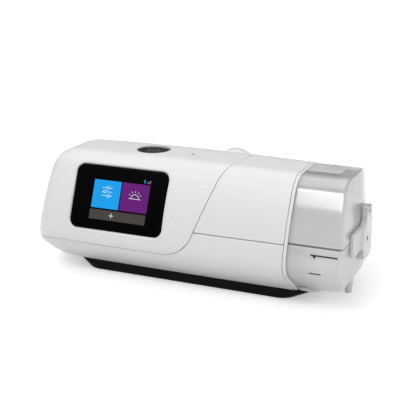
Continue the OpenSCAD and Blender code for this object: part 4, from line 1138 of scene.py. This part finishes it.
def dots():
    """A field of small domes round the screen, finer towards its edge."""
    pitch, dome_r, dome_h, sides = 3.6, 0.5, 0.1, 10
    reach, fade_over, room_needed = 34, 22, 3.0
    left, low, high, high_fade = -119, 35, 92, 8
    u, t = dot_places(pitch)
    p, n = casing.at(u, t), casing.normal(u, t)
    screen_gap = window(p, u, t)
    room = np.minimum(s_seam(p, u, t), screen_gap)
    fade = limit01((reach - screen_gap) / fade_over) * limit01((high - p[:, 2]) / high_fade)
    kept = (room > room_needed) & (p[:, 0] > left) & (p[:, 2] > low) & (fade > 0.15)
    p, n, fade = p[kept], n[kept], fade[kept]
    side = unit(np.cross(n, np.array([0, 0, 1.0])))
    up = np.cross(side, n)
    around = [(math.cos(a), math.sin(a)) for a in np.arange(sides) * 2 * math.pi / sides]
    points, faces = [], []
    for centre, out, across, upwards, size in zip(p, n, side, up, fade):
        base = len(points)
        for share, rise in ((1.0, -0.03), (0.8, 0.5), (0.45, 0.88)):
            level = centre + out * rise * dome_h * size
            points += [level + (across * x + upwards * y) * dome_r * share for x, y in around]
        points.append(centre + out * dome_h * size)
        for ring in (base, base + sides):
            for k in range(sides):
                a, b = ring + k, ring + (k + 1) % sides
                faces += [(a, b, b + sides), (a, b + sides, a + sides)]
        last, tip = base + 2 * sides, base + 3 * sides
        faces += [(last + k, last + (k + 1) % sides, tip) for k in range(sides)]
    mesh = bpy.data.meshes.new("fascia_dots")
    mesh.from_pydata((np.array(points) * MM).tolist(), [], faces)
    tidy_mesh(mesh, 180)
    return mesh


DOT_WHITE = plastic("dots_white", (0.96, 0.96, 0.96), roughness=0.25, vary=0.01)
new_object("fascia_dots", dots(), "machine", DOT_WHITE)


# Trim ring, lip and base
def section_ring(x, d):
    """The casing's outline at x, d below the skin."""
    t = PROFILE_LINE.places(3.0)[:-1]
    p = PROFILE_LINE.at(t, d, FLOOR_Z + d)
    return np.column_stack([np.full(len(t), x), p])


# distance from the casing's end and depth below its skin, round the ring's section
RING_PATH = [(0.02, 0.9), (0.1, 0.5), (0.4, 0.3), (1.8, 0.3), (2.1, 0.4)]
RING_PATH += [(2.2, 0.65), (2.2, 2.4), (2.1, 2.6), (1.9, 2.7), (0.02, 2.7)]
ring_rings = [section_ring(CASE_END_X + x, d) for x, d in RING_PATH]
solid(
    "trim_ring", ring_rings, "machine", RING, "white_ring", ["bay_trim_ring"], close=True, smooth=50
)


def plan_rect(across, deep, r, inset):
    """A rounded rectangle seen from above, between two places in x and two in y, drawn in by inset."""
    w, h = across[1] - across[0] - 2 * inset, deep[1] - deep[0] - 2 * inset
    return block(w, h, r - inset, sum(across) / 2, sum(deep) / 2, 8)


LIP_X, LIP_Y, LIP_R, LIP_TOP = (CASE_END_X - 0.5, 102.5), (-38.6, 40.0), 6.0, 10.8
lip_rings = plate_rings(lambda inset: plan_rect(LIP_X, LIP_Y, LIP_R, inset), FLOOR_Z, LIP_TOP, 0.6, 0.8)
solid("housing_lip", lip_rings, "machine", SHELL, "white_shell")


def base_rings():
    """The black base: ends that slant outwards to a thin lip, rounded corners, soft lower edge."""
    low, high, deep = 0.4, FLOOR_Z, (-40.6, 56.0)
    left, right, slant_left, slant_right, lip = -83.8, 84.0, 9.2, 12.0, 1.8

    def ring(z, inset=0.0):
        x0 = left - slant_left * (z - low) / (high - low)
        x1 = right + slant_right * min((z - low) / (high - lip - low), 1)
        return flat(plan_rect((x0, x1), deep, 12, inset), z)

    recess = ((3.5, 9), (3.5, 4.2), (3.1, 3.9), (0.3, 3.6), (0, 3.2))
    rings = [ring(low + rise, inset) for rise, inset in recess]
    rings += [ring(low + d, i) for i, d in reversed(edge_steps(0.9))]
    rings += [ring(z) for z in np.linspace(low + 1.2, high - lip, 6)]
    rings += [ring(z) for z in (high - lip + 0.3, high - 0.5, high - 0.2)] + [ring(high, 0.3)]
    return rings


solid("base_tray", base_rings(), "machine", BASE, "base_black", ["base_plate"], smooth=35)


# Screen
FACE = -GLASS_SINK


def pane_outline(inset):
    """The screen glass, drawn in by inset."""
    return rounded_rect(SCREEN_W - 2 * inset, SCREEN_H - 2 * inset, SCREEN_R - inset, 12)


pane_rings = placed(plate_rings(pane_outline, FACE - GLASS_T, FACE, 0.2, 0.7), AT_SCREEN)
solid("screen_pane", pane_rings, "machine", GLASS, "black_glass", ["screen_glass"])


def inlay(name, outlines, material, level):
    """Thin flat shapes that lie on the glass as the lit picture: each is a list of (x, y)."""
    meshes = []
    for k, points in enumerate(outlines):
        points = np.array(points)
        rings = placed([flat(points, FACE + level), flat(points, FACE + level + 0.02)], AT_SCREEN)
        meshes.append(loft(f"{name}_{k}", rings))
    return new_object(name, join_meshes(name, meshes), "machine", material)


def ring_strip(r, width, a0, a1, steps=28):
    """A flat arc strip, as one outline."""
    a = np.radians(np.linspace(a0, a1, steps))
    outer = np.column_stack([np.cos(a), np.sin(a)]) * (r + width / 2)
    inner = np.column_stack([np.cos(a), np.sin(a)]) * (r - width / 2)
    return np.concatenate([outer, inner[::-1]])


BLUE = lit("lit_blue", (0.004, 0.31, 0.78), (0.006, 0.36, 0.85))
PURPLE = lit("lit_purple", (0.118, 0.005, 0.165), (0.14, 0.007, 0.19))
BAR = lit("lit_bar", (0.055, 0.047, 0.042), (0.06, 0.051, 0.046))
SIGN = lit("lit_white", (0.74, 0.8, 0.86), (0.8, 0.84, 0.9))
DIM = lit("lit_dim", (0.16, 0.17, 0.18), (0.19, 0.2, 0.21))

LOW_LAYER, MARK_LAYER, TOP_LAYER = 0.01, 0.012, 0.035
TILE_W, TILE_H = 22.0, 20.5
BAR_W, BAR_H = 45.0, 7.1
BLUE_AT, PURPLE_AT, BAR_AT = (-10.3, 2.6), (12.5, 2.6), (0.7, -12.4)
for name, size, at, colour in (
    ("picture_blue", (TILE_W, TILE_H), BLUE_AT, BLUE),
    ("picture_purple", (TILE_W, TILE_H), PURPLE_AT, PURPLE),
    ("picture_bar", (BAR_W, BAR_H), BAR_AT, BAR),
):
    inlay(name, [block(*size, 0.3, *at, 3)], colour, LOW_LAYER)


def sliders(x, y):
    """Three level lines, each with a ring for its knob."""
    half, knob_r, pitch = 4.1, 0.9, 2.9
    out = []
    for k, knob in enumerate((1.6, -2.0, 0.6)):
        row = y + pitch * (k - 1)
        for side, length in ((-1, half + knob - knob_r), (1, half - knob - knob_r)):
            middle = x + knob + side * (knob_r + length / 2)
            out.append(block(length, 0.34, 0.12, middle, row))
        out += [moved(ring_strip(1.0, 0.36, a, a + 181, 14), x + knob, row) for a in (0, 180)]
    return out


def sunrise(x, y):
    """A half ring on a line, with five short rays."""
    out = [moved(ring_strip(3.0, 0.36, 0, 180, 18), x, y)]
    out.append(block(9.4, 0.36, 0.12, x, y - 0.2))
    ray = block(1.1, 0.4, 0.12, 5.0, 0)
    for k in range(1, 6):
        a = k * math.pi / 6
        turned = np.column_stack([ray @ [math.cos(a), -math.sin(a)], ray @ [math.sin(a), math.cos(a)]])
        out.append(moved(turned, x, y))
    return out


icons = sliders(BLUE_AT[0] + 0.3, BLUE_AT[1] + 2.0) + sunrise(PURPLE_AT[0] + 0.2, PURPLE_AT[1] - 0.6)
for w, h in ((3.6, 0.44), (0.44, 3.6)):
    icons.append(block(w, h, 0.1, -4.1, BAR_AT[1]))
inlay("picture_signs", icons, SIGN, TOP_LAYER)
bars = [block(0.55, 0.9 + 0.5 * k, 0.1, 20.9 + 0.85 * k, 14.35 + 0.25 * k) for k in range(4)]
inlay("picture_status", bars, DIM, MARK_LAYER)
inlay("picture_link", [block(0.9, 2.5, 0.4, 18.9, 15.2, 3)], BLUE, MARK_LAYER)


# Start button
def button_cap():
    """The cap, with a soft rim and a shallow dish, and the stem that reaches to the switch."""
    r, bottom, rim = BUTTON_R, -BUTTON_T, 0.75
    cap = [(0.02, bottom), (r - 0.3, bottom), (r, bottom + 0.3), (r, -rim)]
    cap += [(r - i, -d) for i, d in edge_steps(rim, 6)[1:]]
    cap += [(r - 2.2, -0.02), (r - 3.2, -0.14), (6.0, -0.32), (0.02, -0.4)]
    stem = [(0.02, -3.85), (2.7, -3.85), (3.0, -3.55), (3.0, bottom + 0.05)]
    meshes = [lathe("cap", cap, 96, AT_BUTTON, smooth=40), lathe("stem", stem, 32, AT_BUTTON, smooth=40)]
    return join_meshes("button_cap", meshes)


def glyph():
    """A broken ring and a short bar, printed in the button's dish."""
    low, high = -0.345, -0.27
    marks = (ring_strip(4.0, 0.75, 125, 415, 40), block(0.8, 4.2, 0.3, 0, 3.6, 4))
    rings = [placed([flat(mark, low), flat(mark, high)], AT_BUTTON) for mark in marks]
    return join_meshes("button_glyph", [loft("glyph", pair) for pair in rings])


def button_line():
    """The thin ring printed near the button's rim."""
    inner, outer, low = BUTTON_R - 1.25, BUTTON_R - 0.95, -0.03
    profile = [(inner, low), (outer, low), (outer, 0.0), (inner, 0.0)]
    return lathe("button_line", profile, 96, AT_BUTTON, close=True)


new_object("button_cap", button_cap(), "power_button", PIANO, ["start_button"])
new_object("button_glyph", glyph(), "power_button", GLYPH)
new_object("button_line", button_line(), "power_button", GLYPH)


# Outlet connector
def connector():
    """The 22 mm tube with the collar that stops it in the boss."""
    r, bore, (start, end) = OUTLET_R, OUTLET_BORE, OUTLET_Y
    collar, edge, (low, high) = BOSS_BORE - 0.35, BOSS_BORE - 0.6, (56, 58)
    profile = [(bore, start), (r, start), (r, low), (edge, low), (collar, low + 0.25), (collar, high - 0.25)]
    profile += [(edge, high), (r + 0.3, high), (r, high + 0.3), (r, end - 0.8), (r - 0.15, end - 0.3)]
    profile += [(r - 0.6, end), (bore + 0.4, end), (bore, end - 0.4)]
    return lathe("outlet_tube", profile, 80, AT_OUTLET, close=True, smooth=30)


new_object("outlet_tube", connector(), "air_outlet", PALE, ["outlet_connector"])


# Tub
def above(z):
    return lambda p, u, t: p[:, 2] - z


def below(z):
    return lambda p, u, t: z - p[:, 2]


PLATE_AT, PLATE_HALF = (57, 3), (21.4, 26.4)
PORTS, PORT_R = ((-4.0, 64.0), (38.0, 63.0)), 7.5


def from_plate(p):
    """Distance outside the opening for the heat plate in the tub's floor."""
    return rect_distance(p[:, 0] - PLATE_AT[0], p[:, 1] - PLATE_AT[1], *PLATE_HALF, 1.0)


def from_ports(p):
    """Distance outside the nearer of the two air holes."""
    return np.minimum(*[np.hypot(p[:, 1] - y, p[:, 2] - z) for y, z in PORTS]) - PORT_R


plate_window = wall_field(from_plate, lambda p: p[:, 2] < 13.5)
port_holes = wall_field(from_ports, lambda p: p[:, 0] < TUB_START_X + 1)


def rim_push(low, high, rise, fade):
    """Pushes the skin outwards by rise between two heights, where the tub shows and the latch isn't;
    beyond the two heights the push dies away over fade."""

    def push(p):
        from_low = limit01(1 - (low - p[:, 2]) / fade[0])
        from_high = limit01(1 - (p[:, 2] - high) / fade[1])
        band = from_low**2 * (3 - 2 * from_low) * from_high**2 * (3 - 2 * from_high)
        shown = limit01((p[:, 0] - TUB_STEP_X - 1.2) / 0.8)
        clear_of_latch = np.maximum(limit01(np.abs(p[:, 1] - LATCH_Y) - 36.5), p[:, 0] < TUB_END_X - 12)
        return rise * band * shown * clear_of_latch

    return push


def columns_of(surface):
    """The surface's own columns and one more between each two."""
    return np.unique(np.concatenate([surface.u, (surface.u[1:] + surface.u[:-1]) / 2]))


TUB_ROWS = [PROFILE_LINE.places(2.2), np.linspace(3, 6, 30), np.linspace(6, 6.4, 64)]
TUB_ROWS = np.unique(np.concatenate(TUB_ROWS))
tub = Tub()


def tub_part(name, fields, material, replaced, push, extra):
    """A clear shell of the tub, cut along the fields, with the extra meshes moulded on."""
    panel = Panel(tub, columns_of(tub), TUB_ROWS, fields)
    mesh = add_extra(name, mesh_from(name, *panel.mesh(TUB_WALL, push)), extra)
    return new_object(name, mesh, "water_tub", material, replaced)


def foot_peg():
    """The foot under the tub's outer end."""
    profile = [(0.02, 0.3), (2.2, 0.3), (2.6, 0.7), (3.35, 12.4), (0.02, 12.4)]
    return lathe("foot_peg", profile, 32, turn_to((116.4, LATCH_Y, 0)), smooth=40)


def port_tube(y, z):
    """One of the two air tubes inside the lid."""
    r, outer, length, edge = PORT_R, PORT_R + 1.6, 20, 0.3
    profile = [(r, 0), (outer, 0), (outer, length - edge), (outer - edge, length)]
    profile += [(r + edge, length), (r, length - edge)]
    return lathe("port_tube", profile, 40, turn_to((TUB_START_X + 1.9, y, z), about_y=90), close=True)


def latch_ear():
    """The ear on the lid that holds the latch's pin."""
    root_x, steps = 121.5, 13
    a = np.radians(np.linspace(-90, 90, steps))
    rings = []
    for aside, r in ((-2.5, 1.7), (-2.2, 2.0), (2.2, 2.0), (2.5, 1.7)):
        y = LATCH_Y + aside
        nose = np.column_stack([LATCH_PIN_X + r * np.cos(a), np.full(steps, y), LATCH_PIN_Z + r * np.sin(a)])
        root = np.array([(root_x, y, LATCH_PIN_Z + r), (root_x, y, LATCH_PIN_Z - r)])
        rings.append(np.concatenate([nose, root]))
    return loft("latch_ear", rings, smooth=40)


tub_part(
    "tub_base_shell",
    [(below(RIM_Z), RIM_EDGE), (plate_window, HOLE_EDGE)],
    CLEAR_BASE,
    ["tub_base"],
    rim_push(48.8, 60, 0.7, (1.2, 1)),
    [foot_peg()],
)
tub_part(
    "tub_lid_shell",
    [(above(LID_Z), RIM_EDGE), (port_holes, HOLE_EDGE)],
    CLEAR_LID,
    ["tub_lid"],
    rim_push(40, 54.0, 1.1, (1, 3.2)),
    [*[port_tube(y, z) for y, z in PORTS], latch_ear()],
)

seal_surface = Tub(0.8)
seal_fields = [(above(RIM_Z + 0.02), 0.25), (below(LID_Z - 0.02), 0.25)]
seal_panel = Panel(seal_surface, columns_of(seal_surface), TUB_ROWS, seal_fields)
seal_mesh = mesh_from("seal_band", *seal_panel.mesh(2.0))
new_object("seal_band", seal_mesh, "water_tub", SEAL, ["lid_seal"])


# Tub markings and grip
def on_tub_front(x, z, lift):
    """Points on the tub's front at (x, z), lifted off it."""
    line = PROFILE_LINE.at(np.linspace(1.2, 9, 4000), TUB_INSET, TUB_Z)
    rising = line[: np.argmax(line[:, 1])]
    return np.stack([x, np.interp(z, rising[:, 1], rising[:, 0]) - lift, z], 1)


def print_on_front(name, outlines):
    """Thin grey print on the tub's front: each outline is a list of (x, z)."""
    meshes = []
    for k, points in enumerate(outlines):
        x, z = np.array(points, float).T
        meshes.append(loft(f"{name}_{k}", [on_tub_front(x, z, -0.02), on_tub_front(x, z, 0.05)]))
    return new_object(name, join_meshes(name, meshes), "water_tub", INK)


LONG_Z, SHORT_Z = 46.3, 33.5
print_on_front(
    "level_marks",
    [
        block(18.6, 1.0, 0.2, 112.7, LONG_Z),
        block(8.2, 1.05, 0.2, 107.0, SHORT_Z),
        [(107.6, LONG_Z - 0.45), (106.2, LONG_Z - 2.4), (104.8, LONG_Z - 0.45)],
    ],
)


def on_tub_top(points, lift):
    """Points on the tub's top at (x, y), lifted off it."""
    t_line = np.linspace(6.5, 12, 4000)
    line = PROFILE_LINE.at(t_line, TUB_INSET, TUB_Z, TUB_LIFT)
    t = np.interp(points[:, 1], line[:, 0], t_line)
    p = PROFILE_LINE.at(t, TUB_INSET - lift, TUB_Z, TUB_LIFT)
    return np.column_stack([points[:, 0], p])


GRIP_X, GRIP_Y, GRIP_R = (TUB_STEP_X + 0.6, 112.0), (-27.2, -5.2), 4.0
RIB_X, RIB_Y, RIB_W = (102.0, 105.4, 108.8), (-24.6, -7.4), 1.3


def grip_patch():
    """The ribbed finger grip: a slightly raised pad with a rounded end, and three ribs."""
    reach, depth = GRIP_X[1] - GRIP_X[0] + 2 * GRIP_R, GRIP_Y[1] - GRIP_Y[0]
    middle = (GRIP_X[1] - reach / 2, sum(GRIP_Y) / 2)

    def pad(inset):
        points = block(reach - 2 * inset, depth - 2 * inset, GRIP_R - inset, *middle, 8)
        points[:, 0] = np.maximum(points[:, 0], GRIP_X[0] + inset)
        return points

    def rib(x, inset):
        w, h, r = RIB_W - 2 * inset, RIB_Y[1] - RIB_Y[0] - 2 * inset, RIB_W / 2 - 0.01 - inset
        return block(w, h, r, x, sum(RIB_Y) / 2, 5)

    pad_steps = ((0, -0.1), (0, 0.2), (0.2, 0.36), (0.6, 0.42), (2.0, 0.42), (3.5, 0.42))
    rib_steps = ((0, 0.35), (0, 0.7), (0.08, 0.95), (0.3, 1.05))
    meshes = [loft("pad", [on_tub_top(pad(i), h) for i, h in pad_steps], smooth=50)]
    for x in RIB_X:
        meshes.append(loft("rib", [on_tub_top(rib(x, i), h) for i, h in rib_steps], smooth=50))
    return join_meshes("grip_pad", meshes, 50)


new_object("grip_pad", grip_patch(), "water_tub", GRIP)


# Latch
LATCH_IN_X, LATCH_OUT_X = 125.6, 129.4
WING_T, WING_GAP = 2.2, 0.6
LEVER_W, LEVER_Z, LEVER_R = 25.0, (30.0, 56.0), 5.0
WING_W, WING_Z, WING_R = 71.0, (39.0, 56.0), 4.0
LEVER_RISE = LATCH_OUT_X - LATCH_IN_X - WING_T
TAB_W, TAB_Z, TAB_R = 15.0, (50.0, 68.0), 5.5
SLOT_W, SLOT_Z = 5.8, (LATCH_PIN_Z - 2.7, LATCH_PIN_Z + 7.7)
BLEND = 3.5


def stand(y):
    """How far the lever stands out across the latch: 1 at its middle, falling to 0 in the wings."""
    return 1 - limit01((np.abs(y - LATCH_Y) - LEVER_W / 2 + 1) / 7)


class LatchFace(Surface):
    """The latch's outer face, read at (y, z): it follows the tub's end, and the lever stands out."""

    step_u, step_t = 0.05, 0.05

    def at(self, u, t):
        past = u - TUB_TURN_Y
        reach = np.sqrt(np.maximum((TUB_R + WING_GAP) ** 2 - np.maximum(past, 0) ** 2, 0))
        skin = np.where(past < 0, TUB_END_X + WING_GAP + past * TUB_SLOPE, TUB_END_X - TUB_R + reach)
        out = stand(u)
        return np.stack([skin + WING_T + LEVER_RISE * out * out * (3 - 2 * out), u, t], 1)


def soft_join(a, b, k):
    """The nearer of two distances, with the corner between them filled by a fillet of about k."""
    near = np.maximum(k - np.abs(a - b), 0) / k
    return np.minimum(a, b) - near * near * k / 4


def upright_rect(p, width, heights, r):
    """Distance outside a rounded rectangle on the tub's end, between two heights."""
    low, high = heights
    return rect_distance(p[:, 1] - LATCH_Y, p[:, 2] - (low + high) / 2, width / 2, (high - low) / 2, r)


def latch_form(p, u, t):
    """Inside the latch: the wings, the lever that hangs lower, and the tab up to the pin, less its slot."""
    wings = upright_rect(p, WING_W, WING_Z, WING_R)
    lever = upright_rect(p, LEVER_W, LEVER_Z, LEVER_R)
    tab = upright_rect(p, TAB_W, TAB_Z, TAB_R)
    slot = upright_rect(p, SLOT_W, SLOT_Z, 1.0)
    return np.minimum(-soft_join(soft_join(wings, lever, BLEND), tab, BLEND), slot)


def latch_wall(p):
    """Thickness of the latch: thin in the wings, thicker in the lever."""
    return WING_T + LEVER_RISE * stand(p[:, 1])


def latch_lever():
    cell = 0.9
    ys = np.arange(LATCH_Y - WING_W / 2 - 1, LATCH_Y + WING_W / 2 + 1.5, cell)
    zs = np.arange(LEVER_Z[0] - 1, TAB_Z[1] + 1.5, cell)
    panel = Panel(LatchFace(), ys, zs, [(latch_form, 0.6)])
    return mesh_from("latch_lever", *panel.mesh(latch_wall))


def latch_arrow():
    """The small arrow printed on the lever: corners at (y from the latch's middle, z)."""
    y, z = np.array([(-5.4, 47.0), (-5.4, 43.0), (-1.7, 45.0)]).T
    rings = [np.column_stack([np.full(3, LATCH_OUT_X + lift), y + LATCH_Y, z]) for lift in (-0.2, 0.03)]
    return loft("latch_arrow", rings)


new_object("latch_lever", latch_lever(), "latch", CLEAR_LATCH, ["tub_latch"])
new_object("latch_arrow", latch_arrow(), "latch", INK)


# Materials of the CAD nodes that stay
KEPT = {
    BAY: ["bay_liner"],
    RUBBER: ["rubber_feet"],
    STEEL: [
        "casing_screws",
        "motor_shaft",
        "motor_rotor",
        "shaft_bearings",
        "filter_hinge_pin",
        "card_slot",
        "tub_heat_plate",
        "latch_pin",
    ],
    DARK: ["display_frame", "button_switch", "flow_sensor", "power_inlet"],
    GREY: ["board_clips", "blower_lower", "blower_upper", "muffler_box", "supply_duct", "outlet_elbow"],
    PALE: ["impeller"],
    BOARD: ["top_board", "main_board", "modem_board"],
    RIBBON: ["display_ribbon"],
    BLUE: ["display_module"],
    GUIDE: ["button_light_guide"],
    PIANO: ["light_sensor_lens"],
    COPPER: ["motor_stator"],
    SOFT: ["blower_mounts", "outlet_seal_ring"],
    FOAM: ["muffler_foam"],
    FELT: ["air_filter"],
    SILICONE: ["port_seals"],
    ALUMINIUM: ["heater_plate"],
    FILM: ["heater_element"],
    MICA: ["heater_insulator"],
    CARD: ["memory_card"],
}
for material, names in KEPT.items():
    for name in names:
        mesh = nodes[name].data
        mesh.materials.clear()
        mesh.materials.append(material)


# Floor, light and camera
def stage_material():
    """Pale floor that keeps the object's shadow and is white where nothing shades it."""
    made = Recipe("floor_pale")
    path = made.add("LightPath").outputs
    seen = made.math("MAXIMUM", path["Is Glossy Ray"], path["Is Transmission Ray"])
    seen = made.math("MAXIMUM", path["Is Camera Ray"], seen)
    far = made.add("VectorMath", Vector=made.place)
    far.operation = "LENGTH"
    glow = made.spread(far.outputs["Value"], 0.45, 1.0, (0.5, 2.5))
    return made.finish(
        Base_Color=(0.8, 0.8, 0.8, 1),
        Roughness=0.9,
        Specular_IOR_Level=0.0,
        Emission_Color=(1, 1, 1, 1),
        Emission_Strength=made.math("MULTIPLY", seen, glow),
    )


def floor(half):
    """A square floor, which rides on no body."""
    mesh = bpy.data.meshes.new("floor")
    corners = [(-half, -half, 0), (half, -half, 0), (half, half, 0), (-half, half, 0)]
    mesh.from_pydata(corners, [], [(0, 1, 2, 3)])
    mesh.materials.append(stage_material())
    obj = bpy.data.objects.new("floor", mesh)
    bpy.context.scene.collection.objects.link(obj)


def world(low, high):
    """A studio that is brighter overhead than at the horizon."""
    made = bpy.data.worlds.new("studio")
    bpy.context.scene.world = made
    made.use_nodes = True
    sky = Nodes(made.node_tree)
    way = sky.add("TexCoord").outputs["Generated"]
    height = sky.add("SeparateXYZ", Vector=way).outputs["Z"]
    strength = sky.spread(height, low, high, (0.0, 0.9))
    sky.put(sky.tree.nodes["Background"], Color=(1, 1, 1, 1), Strength=strength)


def softbox(name, place, aim, size, power):
    """A rectangular lamp that looks from its place to its aim."""
    lamp = bpy.data.lights.new(name, "AREA")
    lamp.shape = "RECTANGLE"
    lamp.size, lamp.size_y = size
    lamp.energy = power
    obj = bpy.data.objects.new(name, lamp)
    obj.location = place
    obj.rotation_euler = (Vector(aim) - Vector(place)).to_track_quat("-Z", "Y").to_euler()
    bpy.context.scene.collection.objects.link(obj)


def camera(place, down, aside, focal):
    """Looks down and aside by degrees; focal is in pixels of the photo."""
    lens = bpy.data.cameras.new("camera")
    lens.sensor_width = 36
    lens.lens = focal / PHOTO_WIDTH * lens.sensor_width
    obj = bpy.data.objects.new("camera", lens)
    obj.location = place
    obj.rotation_euler = (math.radians(90 - down), 0, math.radians(aside))
    bpy.context.scene.collection.objects.link(obj)
    bpy.context.scene.camera = obj


PHOTO_WIDTH = 416
floor(60.0)
world(0.07, 0.62)
softbox("top_light", (-0.25, 0.25, 1.3), (0, 0, 0.05), (1.5, 1.0), 5.0)
softbox("front_light", (-0.26, -1.0, 1.08), (0, 0, 0.08), (0.95, 0.42), 6.8)
softbox("side_light", (1.25, -0.35, 0.55), (0.1, 0, 0.06), (0.9, 0.8), 3.0)
camera((0.2669, -0.62425, 0.2635), 17.7, 23, 931)
bpy.context.scene.view_settings.view_transform = "Standard"
